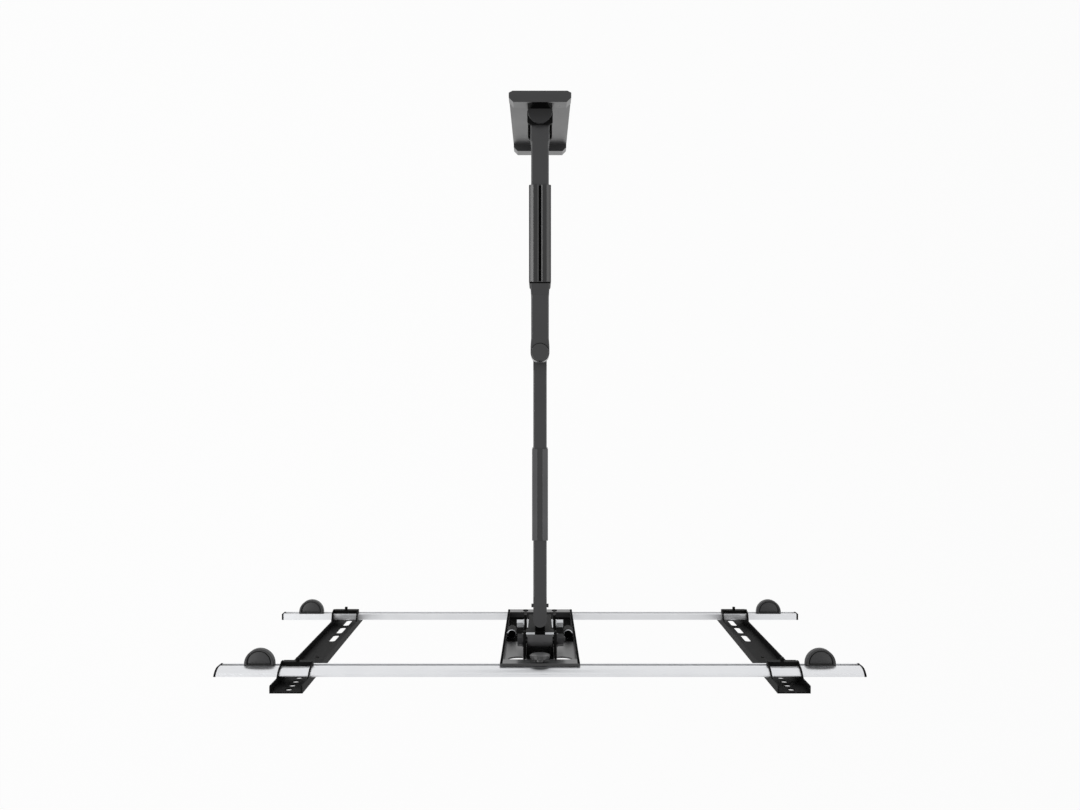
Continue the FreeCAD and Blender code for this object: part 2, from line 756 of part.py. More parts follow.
# Swivel head: an upright barrel in the fork carries a bracket, its level tilt barrel and two ears
def swivel_head():
    radius = "swivel_barrel_radius"
    half = "swivel_neck_width/2"
    step = f"{SWIVEL} + sqrt({radius}^2 - ({half})^2)"
    plan = [
        (half, BRACKET_REAR),
        (f"-{half}", BRACKET_REAR),
        (f"-{half}", step, radius, "left"),
        (f"-{radius}", SWIVEL, radius, "left"),
        ("0", f"{SWIVEL} - {radius}", radius, "left"),
        (radius, SWIVEL, radius, "left"),
        (half, step),
    ]
    bore = circle("0", SWIVEL, "swivel_bolt_radius + fit_gap")
    foot = f"{OUTER_BOTTOM} + fork_ear + slide_gap"
    height = "outer_arm_height - 2*fork_ear - 2*slide_gap"
    barrel = block("swivel_barrel", "XY", foot, height, [plan, bore])
    ledge = rectangle(f"-{half}", half, f"{SWIVEL} + {radius}", BRACKET_REAR)
    pocket(barrel, "XY", f"{foot} + {height} - swivel_neck_drop", "swivel_neck_drop", [ledge])
    node(barrel)

    bracket = new_body("swivel_bracket")
    top = f"({OUTER_TOP} - bracket_top_drop)"
    neck = f"({top} - bracket_head_height)"
    bottom = f"({GUIDE_Z} - ear_tail)"
    wide = "bracket_head_width/2"
    slim = "ear_outer_x"
    face = [
        (wide, top),
        (f"-{wide}", top),
        (f"-{wide}", neck),
        (f"-{slim}", neck),
        (f"-{slim}", bottom),
        (slim, bottom),
        (slim, neck),
        (wide, neck),
    ]
    pad(bracket, "XZ", BRACKET_REAR, "bracket_sheet", [face])
    tip = f"{TILT} + ear_end_radius"
    ear = [
        (BRACKET_REAR, neck),
        (BRACKET_REAR, bottom),
        (TILT, f"{GUIDE_Z} - ear_end_radius", "ear_end_radius", "left"),
        (tip, GUIDE_Z),
        (tip, neck),
    ]
    hole = circle(TILT, GUIDE_Z, "guide_bolt_radius + fit_gap")
    pad(bracket, "YZ", "-ear_outer_x", "bracket_sheet", [ear, hole])
    pad(bracket, "YZ", "ear_outer_x - bracket_sheet", "bracket_sheet", [ear, hole])
    node(bracket)

    radius = "tilt_barrel_radius"
    barrel = [
        (BRACKET_FRONT, f"{TILT_Z} + {radius}"),
        (BRACKET_FRONT, f"{TILT_Z} - {radius}"),
        (TILT, f"{TILT_Z} - {radius}", radius, "left"),
        (f"{TILT} + {radius}", TILT_Z, radius, "left"),
        (TILT, f"{TILT_Z} + {radius}"),
    ]
    bore = circle(TILT, TILT_Z, "swivel_bolt_radius + fit_gap")
    node(block("tilt_barrel", "YZ", "-tilt_barrel_length/2", "tilt_barrel_length", [barrel, bore]))

    flange_end = f"({TILT_PLATE_OUTER} + guide_flange_height)"
    nut_end = f"({flange_end} + guide_nut_height)"
    shank = circle(TILT, GUIDE_Z, "guide_bolt_radius")
    node(block("guide_bolt", "YZ", f"-{nut_end}", f"2*{nut_end}", [shank]))
    nuts = []
    spacers = []
    spacer = [circle(TILT, GUIDE_Z, "guide_spacer_radius"), hole]
    spacer_length = "tilt_plate_inner_x - ear_outer_x"
    flange = [circle(TILT, GUIDE_Z, "guide_flange_radius"), hole]
    hexagonal = [hexagon(TILT, GUIDE_Z, "guide_nut_flats"), hole]
    for side, flange_start, nut_start, spacer_start in (
        ("left", f"-{flange_end}", f"-{nut_end}", "-tilt_plate_inner_x"),
        ("right", TILT_PLATE_OUTER, flange_end, "ear_outer_x"),
    ):
        nut = new_body(f"guide_nut_{side}")
        pad(nut, "YZ", flange_start, "guide_flange_height", flange)
        pad(nut, "YZ", nut_start, "guide_nut_height", hexagonal)
        nuts.append(nut)
        spacers.append(block(f"guide_spacer_{side}", "YZ", spacer_start, spacer_length, spacer))
    group("guide_nuts", nuts)
    group("guide_spacers", spacers)


def guide_slot():
    """A curved slot about the tilt axis, as long as the tilt range, measured from straight down."""
    width = "(guide_bolt_radius + guide_slot_gap)"

    def place(radius, angle, along):
        return (
            f"{TILT} + ({radius})*sin({angle}) + ({along})*cos({angle})",
            f"{TILT_Z} - ({radius})*cos({angle}) + ({along})*sin({angle})",
        )

    outside = f"(guide_drop + {width})"
    inside = f"(guide_drop - {width})"
    back = "-tilt_back_deg"
    front = "tilt_forward_deg"
    return [
        (*place(outside, back, "0"), outside, "left"),
        (*place(outside, front, "0"), width, "left"),
        (*place("guide_drop", front, width), width, "left"),
        (*place(inside, front, "0"), inside, "right"),
        (*place(inside, back, "0"), width, "left"),
        (*place("guide_drop", back, f"-{width}"), width, "left"),
    ]


# Tilt plates: a pair of cheeks on the carrier. They turn on the tilt bolt and slide past the guide bolt
def tilt_plates():
    radius = "tilt_plate_end_radius"
    strip = f"({WEB_REAR} - tilt_plate_strip)"
    slot_width = "(guide_bolt_radius + guide_slot_gap)"
    toe = f"({TILT} - (guide_drop + {slot_width})*sin(tilt_back_deg) - {slot_width} - guide_slot_margin)"
    shape = [
        (WEB_REAR, f"{TILT_Z} + {radius}"),
        (TILT, f"{TILT_Z} + {radius}", radius, "left"),
        (f"{TILT} - {radius}", TILT_Z, radius, "left"),
        (TILT, f"{TILT_Z} - {radius}"),
        (strip, f"{TILT_Z} - {radius}"),
        (strip, f"{GUIDE_Z} + tilt_plate_foot"),
        (toe, f"{GUIDE_Z} + tilt_plate_foot"),
        (toe, f"{GUIDE_Z} - tilt_plate_foot"),
        (WEB_REAR, f"{GUIDE_Z} - tilt_plate_foot"),
    ]
    hole = circle(TILT, TILT_Z, "swivel_bolt_radius + fit_gap")
    loops = [shape, hole, guide_slot()]
    node(block("left_tilt_plate", "YZ", f"-{TILT_PLATE_OUTER}", "tilt_plate_sheet", loops))
    node(block("right_tilt_plate", "YZ", "tilt_plate_inner_x", "tilt_plate_sheet", loops))

    washer_end = f"({TILT_PLATE_OUTER} + tilt_washer_height)"
    washer = [circle(TILT, TILT_Z, "tilt_washer_radius"), hole]
    group(
        "tilt_washers",
        [
            block("tilt_washer_left", "YZ", f"-{washer_end}", "tilt_washer_height", washer),
            block("tilt_washer_right", "YZ", TILT_PLATE_OUTER, "tilt_washer_height", washer),
        ],
    )
    bolt = new_body("tilt_bolt")
    head = hexagon(TILT, TILT_Z, "small_bolt_flats")
    pad(bolt, "YZ", f"-{washer_end} - small_bolt_head", "small_bolt_head", [head])
    shank = circle(TILT, TILT_Z, "swivel_bolt_radius")
    shank_length = f"2*{washer_end} + tilt_nut_height + thread_end"
    pad(bolt, "YZ", f"-{washer_end}", shank_length, [shank])
    node(bolt)
    node(block("tilt_nut", "YZ", washer_end, "tilt_nut_height", [head, hole]))


# Carrier plate: a folded tray between the rails, with a tab over each rail's back
def carrier_plate():
    carrier = new_body("carrier_plate")
    half = "carrier_width/2"
    top = f"({TOP_EDGE} - tab_gap)"
    bottom = f"({BOTTOM_EDGE} + tab_gap)"
    windows = [
        circle(f"{x}*carrier_window_x", f"{TILT_Z} + carrier_window_above", "carrier_window_radius")
        for x in (-1, 1)
    ]
    web = rectangle(f"-{half}", half, bottom, top)
    pad(carrier, "XZ", WEB_REAR, "carrier_web_sheet", [web, *windows])
    rim_depth = f"{WEB_REAR} - {TAB_REAR}"
    rims = [
        rectangle(f"-{half}", f"-{half} + carrier_sheet", bottom, top),
        rectangle(f"{half} - carrier_sheet", half, bottom, top),
        rectangle(f"-{half}", half, f"{top} - carrier_sheet", top),
        rectangle(f"-{half}", half, bottom, f"{bottom} + carrier_sheet"),
    ]
    for rim in rims:
        pad(carrier, "XZ", TAB_REAR, rim_depth, [rim])
    upper_tab = rectangle(f"-{half}", half, f"{top} - carrier_sheet", f"{top} + tab_overlap")
    stud_hole = circle("0", TOP_SLOT, "knob_stud_radius + fit_gap")
    pad(carrier, "XZ", TAB_REAR, "carrier_sheet", [upper_tab, stud_hole])
    lower_tab = rectangle(f"-{half}", half, f"{bottom} - tab_overlap", f"{bottom} + carrier_sheet")
    screw_holes = [
        circle(f"{x}*carrier_screw_x", BOTTOM_SLOT, "carrier_screw_radius + fit_gap") for x in (-1, 1)
    ]
    pad(carrier, "XZ", TAB_REAR, "carrier_sheet", [lower_tab, *screw_holes])
    node(carrier)


def slide_nut(label, x, height, half_length, bore):
    """A flat nut that slides in a rail's slot."""
    shape = rectangle(
        f"{x} - {half_length}",
        f"{x} + {half_length}",
        f"{height} - slide_nut_half_height",
        f"{height} + slide_nut_half_height",
    )
    return block(label, "XZ", NUT_REAR, "slide_nut_thickness", [shape, circle(x, height, bore)])


# Carrier fittings: levelling sleeves on the tray, screws and slide nuts that hold the rails
def carrier_fittings():
    centre = f"({WEB_REAR} - sleeve_radius)"
    foot = f"{TILT_Z} - sleeve_drop - sleeve_length/2"
    sleeves = []
    screws = []
    nuts = [slide_nut("top_slide_nut", "0", TOP_SLOT, TOP_SLIDE_NUT_HALF, "knob_stud_radius + fit_gap")]
    for name, side in (("left", -1), ("right", 1)):
        x = f"{side}*sleeve_x"
        ring = [circle(x, centre, "sleeve_radius"), circle(x, centre, "sleeve_bore_radius")]
        sleeves.append(block(f"levelling_sleeve_{name}", "XY", foot, "sleeve_length", ring))
        x = f"{side}*carrier_screw_x"
        screw = new_body(f"carrier_screw_{name}")
        head = circle(x, BOTTOM_SLOT, "carrier_screw_head_radius")
        pad(screw, "XZ", f"{TAB_REAR} - carrier_screw_head", "carrier_screw_head", [head])
        shank = circle(x, BOTTOM_SLOT, "carrier_screw_radius")
        pad(screw, "XZ", TAB_REAR, f"{NUT_REAR} + slide_nut_thickness - {TAB_REAR}", [shank])
        screws.append(screw)
        bore = "carrier_screw_radius + fit_gap"
        nuts.append(
            slide_nut(f"bottom_slide_nut_{name}", x, BOTTOM_SLOT, "slide_nut_half_length", bore)
        )
    group("levelling_sleeves", sleeves)
    group("carrier_screws", screws)
    group("carrier_slide_nuts", nuts)


# Locking knob: a moulded head on a threaded stud that clamps the top rail to the carrier
def lock_knob():
    head = new_body("knob_head")
    hub_end = f"({TAB_REAR} - knob_clearance)"
    hub_start = f"({hub_end} - knob_hub_length)"
    face = f"({hub_start} - knob_thickness)"
    bore = circle("0", TOP_SLOT, "knob_stud_radius + fit_gap")
    pad(head, "XZ", face, "knob_thickness", [circle("0", TOP_SLOT, "knob_radius")])
    pad(head, "XZ", hub_start, "knob_hub_length", [circle("0", TOP_SLOT, "knob_hub_radius"), bore])
    node(head)
    stud = circle("0", TOP_SLOT, "knob_stud_radius")
    stud_end = f"{NUT_REAR} + slide_nut_thickness"
    node(block("knob_stud", "XZ", hub_start, f"{stud_end} - {hub_start}", [stud]))


def rail_outline(edge, up, slotted):
    """A rail's section: flat back with a T-slot, then a round shoulder. up is 1, or -1 upside down."""
    crest = f"{RAIL_FRONT} - rail_crest"
    rise = "(rail_depth - rail_crest)"
    shoulder_radius = f"({rise}^2 + rail_shoulder^2)/(2*{rise})"

    def at(reach, height):
        return (reach, f"{edge} + {up}*({height})")

    turn = "left" if up > 0 else "right"
    corners = [
        at(RAIL_REAR, "0"),
        at(RAIL_FRONT, "0"),
        at(RAIL_FRONT, "rail_height"),
        (*at(crest, "rail_height"), shoulder_radius, turn),
        at(RAIL_REAR, "rail_height - rail_shoulder"),
    ]
    if slotted:
        lip = f"{RAIL_REAR} + slot_lip"
        floor = f"{RAIL_REAR} + slot_depth"
        corners += [
            at(RAIL_REAR, "slot_offset + slot_mouth/2"),
            at(lip, "slot_offset + slot_mouth/2"),
            at(lip, "slot_offset + slot_width/2"),
            at(floor, "slot_offset + slot_width/2"),
            at(floor, "slot_offset - slot_width/2"),
            at(lip, "slot_offset - slot_width/2"),
            at(lip, "slot_offset - slot_mouth/2"),
            at(RAIL_REAR, "slot_offset - slot_mouth/2"),
        ]
    return corners


RAILS = (("top", TOP_EDGE, TOP_SLOT, 1), ("bottom", BOTTOM_EDGE, BOTTOM_SLOT, -1))


# Rails: aluminium extrusions, the bottom one upside down, with plastic plugs in their ends
def rails():
    rail_half = "(rail_length/2 - end_cap_thickness)"
    caps = {"left": [], "right": []}
    for name, edge, slot, up in RAILS:
        section = rail_outline(edge, up, True)
        node(block(f"{name}_rail", "YZ", f"-{rail_half}", f"2*{rail_half}", [section]))
        plug = rectangle(
            NUT_REAR,
            f"{NUT_REAR} + slide_nut_thickness",
            f"{slot} - slide_nut_half_height",
            f"{slot} + slide_nut_half_height",
        )
        for side, cap_start, plug_start in (
            ("left", "-rail_length/2", f"-{rail_half}"),
            ("right", rail_half, f"{rail_half} - end_plug_length"),
        ):
            cap = new_body(f"{name}_{side}_end_cap")
            pad(cap, "YZ", cap_start, "end_cap_thickness", [rail_outline(edge, up, False)])
            pad(cap, "YZ", plug_start, "end_plug_length", [plug])
            caps[side].append(cap)
    group("left_end_caps", caps["left"])
    group("right_end_caps", caps["right"])


BUMPER_CENTRE = f"({RAIL_REAR} - bumper_reach + bumper_radius)"


def bumper_outline(x):
    """A D with its flat side on the rail's back."""
    return [
        (f"{x} + bumper_radius", RAIL_REAR),
        (f"{x} + bumper_radius", BUMPER_CENTRE, "bumper_radius", "right"),
        (x, f"{BUMPER_CENTRE} - bumper_radius", "bumper_radius", "right"),
        (f"{x} - bumper_radius", BUMPER_CENTRE),
        (f"{x} - bumper_radius", RAIL_REAR),
    ]


def bumper_panel(x):
    """The D inside the rim, an arc about the pad's own centre cut off by the rim's flat side."""
    radius = "(bumper_radius - bumper_rim)"
    flat = f"({RAIL_REAR} - bumper_rim)"
    chord = f"sqrt({radius}^2 - ({BUMPER_CENTRE} - {flat})^2)"
    return [
        (f"{x} + {chord}", flat, radius, "right"),
        (x, f"{BUMPER_CENTRE} - {radius}", radius, "right"),
        (f"{x} - {chord}", flat),
    ]


# Wall bumpers: half-round pads plugged into the rail slots, with a sunk panel on both faces
def wall_bumpers():
    bumpers = []
    for name, _, slot, _ in RAILS:
        for side, sign in (("left", -1), ("right", 1)):
            x = f"{sign}*(rail_length/2 - {name}_bumper_inset)"
            bumper = new_body(f"{name}_{side}_bumper")
            foot = f"({slot} - bumper_thickness/2)"
            pad(bumper, "XY", foot, "bumper_thickness", [bumper_outline(x)])
            plug = rectangle(
                f"{x} - bumper_plug_width/2",
                f"{x} + bumper_plug_width/2",
                f"{slot} - slot_mouth/2 + slide_gap",
                f"{slot} + slot_mouth/2 - slide_gap",
            )
            pad(bumper, "XZ", RAIL_REAR, "slot_lip - slide_gap", [plug])
            panel = [bumper_panel(x)]
            pocket(bumper, "XY", foot, "bumper_recess", panel)
            pocket(bumper, "XY", f"{foot} + bumper_thickness - bumper_recess", "bumper_recess", panel)
            bumpers.append(bumper)
    group("wall_bumpers", bumpers)


FLANGE_REAR = f"({RAIL_FRONT} + hook_gap)"
HOOK_BACK = f"({RAIL_REAR} - hook_depth)"
HOOK_INNER = f"({RAIL_REAR} - hook_gap)"
SHOULDER_RISE = "(rail_depth - rail_crest)"
SHOULDER_RADIUS = f"(({SHOULDER_RISE}^2 + rail_shoulder^2)/(2*{SHOULDER_RISE}))"
STRAP_HALF_STEP = 8.5
STRAP_ANGLES = [k * STRAP_HALF_STEP for k in (1, 3, 5)]


def around_shoulder(top, offset, angles):
    """Corners of a strap's edge that stays an offset clear of the rail's round shoulder."""
    radius = f"({SHOULDER_RADIUS} + {offset})/cos({STRAP_HALF_STEP} deg)"
    return [
        (
            f"{RAIL_REAR} + {SHOULDER_RADIUS} - {radius}*cos({angle} deg)",
            f"{top} - rail_shoulder + {radius}*sin({angle} deg)",
        )
        for angle in angles
    ]


def top_hook(top, slot):
    """The flange's strap over the top rail's shoulder, down to the rail's slot."""
    return [
        (FLANGE_REAR, f"{top} + hook_rise/2"),
        *around_shoulder(top, "hook_gap + hook_strap", STRAP_ANGLES[::-1]),
        (HOOK_BACK, f"{top} - rail_shoulder - hook_strap"),
        (HOOK_BACK, f"{slot} - hook_end"),
        (HOOK_INNER, f"{slot} - hook_end"),
        *around_shoulder(top, "hook_gap", STRAP_ANGLES),
        (f"{RAIL_FRONT} - rail_crest - hook_gap", f"{top} + hook_gap"),
        (FLANGE_REAR, f"{top} + hook_gap"),
    ]


def bottom_hook(top, slot):
    """The flange's hook over the bottom rail's flat upper edge, down to the rail's slot."""
    return [
        (FLANGE_REAR, f"{top} + hook_rise"),
        (f"{RAIL_REAR} - hook_strap", f"{top} + hook_rise/2"),
        (HOOK_BACK, f"{top} - hook_depth"),
        (HOOK_BACK, f"{slot} - hook_end"),
        (HOOK_INNER, f"{slot} - hook_end"),
        (HOOK_INNER, f"{top} + hook_gap"),
        (FLANGE_REAR, f"{top} + hook_gap"),
    ]


# Column: a folded channel in front of the rails that hooks over both of them and takes the
# television's bolts in its face
def column(side, sign):
    x = f"{sign}*column_spacing/2"
    middle = f"{sign}*(column_spacing/2 + column_shift)"
    half = "column_width/2"
    channel = new_body(f"{side}_column")
    face = rectangle(f"{middle} - {half}", f"{middle} + {half}", COLUMN_BOTTOM, COLUMN_TOP)
    holes = [
        circle(x, f"{COLUMN_TOP} - column_hole_drop - {k}*column_hole_pitch", "column_hole_radius")
        for k in range(COLUMN_HOLES)
    ]
    pin_hole = circle(x, f"{COLUMN_TOP} - column_pin_hole_drop", "column_pin_hole_radius")
    slots = [
        upright_slot(
            x,
            f"{COLUMN_BOTTOM} + column_slot_lift + {k}*column_slot_pitch",
            "column_slot_length",
            "column_slot_radius",
        )
        for k in range(COLUMN_SLOTS)
    ]
    pad(channel, "XZ", COLUMN_REAR, "column_sheet", [face, *holes, pin_hole, *slots])
    flange = [
        (COLUMN_FRONT, COLUMN_TOP),
        (f"{FLANGE_REAR} + flange_chamfer", COLUMN_TOP),
        (FLANGE_REAR, f"{COLUMN_TOP} - flange_chamfer"),
        *top_hook(f"({TOP_EDGE} + rail_height)", TOP_SLOT),
        *bottom_hook(BOTTOM_EDGE, BOTTOM_SLOT),
        (FLANGE_REAR, f"{COLUMN_BOTTOM} + flange_chamfer"),
        (f"{FLANGE_REAR} + flange_chamfer", COLUMN_BOTTOM),
        (COLUMN_FRONT, COLUMN_BOTTOM),
    ]
    pad(channel, "YZ", f"{middle} - {half}", "column_sheet", [flange])
    pad(channel, "YZ", f"{middle} + {half} - column_sheet", "column_sheet", [flange])
    node(channel)


# Column clamps: a bar across each hook, with a screw into a slide nut in the rail's slot
def column_clamps(side, sign):
    x = f"{sign}*(column_spacing/2 + column_shift)"
    bar_half = "(column_width/2 - column_sheet)"
    bar_rear = f"({RAIL_REAR} - hook_gap - clamp_bar_thickness)"
    bars = []
    screws = []
    nuts = []
    bore = "clamp_screw_radius + fit_gap"
    for name, _, slot, _ in RAILS:
        face = rectangle(
            f"{x} - {bar_half}",
            f"{x} + {bar_half}",
            f"{slot} - clamp_bar_height/2",
            f"{slot} + clamp_bar_height/2",
        )
        hole = circle(x, slot, bore)
        label = f"{side}_{name}"
        bars.append(block(f"{label}_clamp_bar", "XZ", bar_rear, "clamp_bar_thickness", [face, hole]))
        start = f"({bar_rear} - clamp_screw_stand)"
        length = f"{NUT_REAR} + slide_nut_thickness - {start}"
        shank = circle(x, slot, "clamp_screw_radius")
        screws.append(block(f"{label}_clamp_screw", "XZ", start, length, [shank]))
        nuts.append(slide_nut(f"{label}_clamp_nut", x, slot, "slide_nut_half_length", bore))
    group(f"{side}_clamp_bars", bars)
    group(f"{side}_clamp_screws", screws)
    group(f"{side}_clamp_nuts", nuts)


wall_plate()
wall_caps()
wall_yoke()
wall_pivot()
inner_arm()
inner_cable_cover()
outer_arm()
outer_cable_cover()
swivel_head()
tilt_plates()
carrier_plate()
carrier_fittings()
lock_knob()
rails()
wall_bumpers()
for column_side, column_sign in (("left", -1), ("right", 1)):
    column(column_side, column_sign)
    column_clamps(column_side, column_sign)

doc.recompute()

for item in doc.Objects:
    if "Invalid" in item.State or "Error" in item.State:
        raise RuntimeError(f"{item.Label} failed: {item.State}")
    if item.TypeId == "PartDesign::Pocket" and item.Shape.Volume >= item.BaseFeature.Shape.Volume:
        raise RuntimeError(f"{item.Label} cuts nothing")
    if item.TypeId == "PartDesign::Body" and len(item.Shape.Solids) != 1:
        raise RuntimeError(f"{item.Label} is not one solid")
for item in NODES:
    if item.Shape.isNull() or not item.Shape.isValid():
        raise RuntimeError(f"{item.Label} has no sound shape")

os.makedirs("parts", exist_ok=True)
for item in NODES:
    item.Shape.exportStep(f"parts/{item.Label}.step")
    solids = len(item.Shape.Solids)
    print(f"{item.Label}: {solids} solid(s), {item.Shape.Volume / 1000:.2f} cm3")
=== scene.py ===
import json

import bpy
import numpy as np
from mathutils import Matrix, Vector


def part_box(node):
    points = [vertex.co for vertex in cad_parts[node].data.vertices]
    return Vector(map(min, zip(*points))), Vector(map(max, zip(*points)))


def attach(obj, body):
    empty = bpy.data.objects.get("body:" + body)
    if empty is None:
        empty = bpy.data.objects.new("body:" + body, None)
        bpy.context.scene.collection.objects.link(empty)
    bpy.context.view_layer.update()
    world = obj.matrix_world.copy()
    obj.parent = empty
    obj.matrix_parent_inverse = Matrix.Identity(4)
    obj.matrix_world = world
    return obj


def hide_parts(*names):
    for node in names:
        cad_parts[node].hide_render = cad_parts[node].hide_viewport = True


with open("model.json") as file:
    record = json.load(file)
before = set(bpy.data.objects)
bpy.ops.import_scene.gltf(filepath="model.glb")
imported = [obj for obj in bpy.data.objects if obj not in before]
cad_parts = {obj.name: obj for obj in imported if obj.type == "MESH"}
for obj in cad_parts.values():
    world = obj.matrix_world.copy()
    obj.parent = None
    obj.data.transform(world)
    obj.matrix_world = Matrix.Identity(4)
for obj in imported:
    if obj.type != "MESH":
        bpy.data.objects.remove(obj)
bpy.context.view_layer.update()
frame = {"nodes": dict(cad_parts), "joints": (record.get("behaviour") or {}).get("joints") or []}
nodes = frame["nodes"]


# Wall plate
# A flat plate pressed from mild steel, which four bolts under its caps hold to the wall. The yoke is
# welded to it, and it is powder-coated like the arms.
def linear(code):
    """Linear RGBA of an sRGB hex colour."""
    srgb = np.array([int(code[i:i + 2], 16) for i in (1, 3, 5)]) / 255
    rgb = np.where(srgb <= 0.04045, srgb / 12.92, ((srgb + 0.055) / 1.055) ** 2.4)
    return (*rgb.tolist(), 1.0)


def add(tree, kind, links=(), **settings):
    """Adds a node. A setting is the node's own or, where it has none of that name, an input's; links feed
    the other inputs."""
    new = tree.nodes.new(kind)
    for name, value in settings.items():
        if hasattr(new, name):
            setattr(new, name, value)
        else:
            new.inputs[name.replace("_", " ")].default_value = value
    for name, source in dict(links).items():
        tree.links.new(source, new.inputs[name])
    return new


def surface(name, *, colours, roughness, patch, grain, depth, strength, **settings):
    """A material whose colour and roughness drift between two values over patches of one size, under a
    relief of finer grain with its own size, depth and strength. Lengths are in millimetres."""
    made = bpy.data.materials.new(name)
    made.use_nodes = True
    tree = made.node_tree
    tree.nodes.clear()
    shader = add(tree, "ShaderNodeBsdfPrincipled", **settings)
    add(tree, "ShaderNodeOutputMaterial", {"Surface": shader.outputs["BSDF"]})
    place = {"Vector": add(tree, "ShaderNodeTexCoord").outputs["Object"]}
    drift = add(tree, "ShaderNodeTexNoise", place, Scale=1000 / patch, Detail=3.0).outputs["Fac"]
    tone = add(tree, "ShaderNodeValToRGB", {"Fac": drift}, name="tone")
    tone.color_ramp.elements[0].color = linear(colours[0])
    tone.color_ramp.elements[1].color = linear(colours[1])
    gloss = add(tree, "ShaderNodeMapRange", {"Value": drift}, To_Min=roughness[0], To_Max=roughness[1])
    bumps = add(tree, "ShaderNodeTexNoise", place, name="grain", Scale=1000 / grain, Detail=2.0)
    height = {"Height": bumps.outputs["Fac"]}
    relief = add(tree, "ShaderNodeBump", height, Distance=depth / 1000, Strength=strength)
    tree.links.new(tone.outputs["Color"], shader.inputs["Base Color"])
    tree.links.new(gloss.outputs["Result"], shader.inputs["Roughness"])
    tree.links.new(relief.outputs["Normal"], shader.inputs["Normal"])
    return made


def coat(material, *names):
    """Gives CAD nodes a material in place of their plain one."""
    for name in names:
        nodes[name].data.materials.clear()
        nodes[name].data.materials.append(material)


# Powder coat: baked paint that shrinks into a fine orange peel, drawn 1.2 mm from crest to crest so
# that it shows. The eye gets a soft, slightly broken highlight and hardly any change of colour.
powder_coat = surface(
    "powder_coated_steel",
    colours=("#2f2f30", "#363637"),
    roughness=(0.26, 0.36),
    patch=40,
    grain=1.2,
    depth=0.1,
    strength=0.12,
    IOR=1.5,
)
coat(powder_coat, "wall_plate")

# Wall caps
# Two hollow mouldings that clip over the heads of the wall bolts, the upper one notched over the yoke.
# They are moulded from black ABS.

# Satin ABS: a spark-eroded mould leaves a fine even grain, which gives the eye a satin sheen.
satin_abs = surface(
    "moulded_satin_abs",
    colours=("#29292a", "#303031"),
    roughness=(0.24, 0.34),
    patch=25,
    grain=0.8,
    depth=0.06,
    strength=0.1,
    IOR=1.54,
)
coat(satin_abs, "upper_wall_cap", "lower_wall_cap")


# Wall yoke
# A U of folded mild-steel sheet, welded to the plate, whose two ears hold the wall pivot. The upper ear
# is waisted where it passes under the cap, and the lower one is a plain tongue.
def span(node):
    """A CAD node's lowest and highest corner in millimetres."""
    low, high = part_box(node)
    return np.array(low) * 1000, np.array(high) * 1000


def leftward(outline):
    """The outline with its corners in left-hand order."""
    outline = np.asarray(outline, float)
    ahead = np.roll(outline, -1, 0)
    area = (outline[:, 0] * ahead[:, 1] - outline[:, 1] * ahead[:, 0]).sum()
    return outline if area > 0 else outline[::-1]


def rounded(corners, steps=8):
    """A closed outline with arcs at its corners, which are rows of two places and a radius. Each arc turns
    from the tangent point before its corner to the one after it, about a centre on the corner's bisector,
    by weighting the two radius vectors. A point just outside each of its ends keeps the straight runs
    flat."""
    rows = np.asarray(corners, float)
    corners, radii = rows[:, :2], rows[:, 2:]
    back = np.roll(corners, 1, 0) - corners
    ahead = np.roll(corners, -1, 0) - corners
    back /= np.linalg.norm(back, axis=1, keepdims=True)
    ahead /= np.linalg.norm(ahead, axis=1, keepdims=True)
    half = np.arccos(np.clip((back * ahead).sum(1, keepdims=True), -1, 1)) / 2
    bisector = back + ahead
    bisector /= np.linalg.norm(bisector, axis=1, keepdims=True)
    centre = corners + bisector * radii / np.sin(half)
    reach = radii / np.tan(half)
    first = corners + back * reach - centre
    last = corners + ahead * reach - centre
    turn = (np.pi - 2 * half)[:, :, None]
    t = np.linspace(0, 1, steps)[None, :, None]
    arc = (np.sin((1 - t) * turn) * first[:, None] + np.sin(t * turn) * last[:, None]) / np.sin(turn)
    support = 0.05
    before = (corners + back * (reach + support))[:, None]
    after = (corners + ahead * (reach + support))[:, None]
    return leftward(np.concatenate([before, centre[:, None] + arc, after], 1).reshape(-1, 2))


def oblong(first, last, radius):
    """A rectangle between two opposite corners, rounded at all four."""
    (a, b), (c, d) = first, last
    return rounded([(a, b, radius), (c, b, radius), (c, d, radius), (a, d, radius)])


def mirrored(half, flip):
    """The corners of an outline: one half's rows, then their images in reverse order, which are the rows
    times flip."""
    half = np.array(half, float)
    return np.concatenate([half, half[::-1] * flip])


def ring(axis, along, outline, inset=0.0):
    """An outline in millimetres, drawn in by inset along its normals, set across an axis at one place. Its
    two numbers are x y for axis z, y z for axis x, and z x for axis y."""
    run = np.roll(outline, -1, 0) - np.roll(outline, 1, 0)
    normal = np.stack([run[:, 1], -run[:, 0]], 1) / np.linalg.norm(run, axis=1, keepdims=True)
    flat = outline - normal * np.reshape(inset, (-1, 1))
    return np.roll(np.insert(flat, 2, along, axis=1), {"z": 0, "x": 1, "y": 2}[axis], axis=1)


def carried(axis, outline, start, *stops):
    """The rings of an outline carried along an axis. Each stop gives how far its ring lies from start and
    how far it is drawn in."""
    return [ring(axis, start + along, outline, inset) for along, inset in stops]


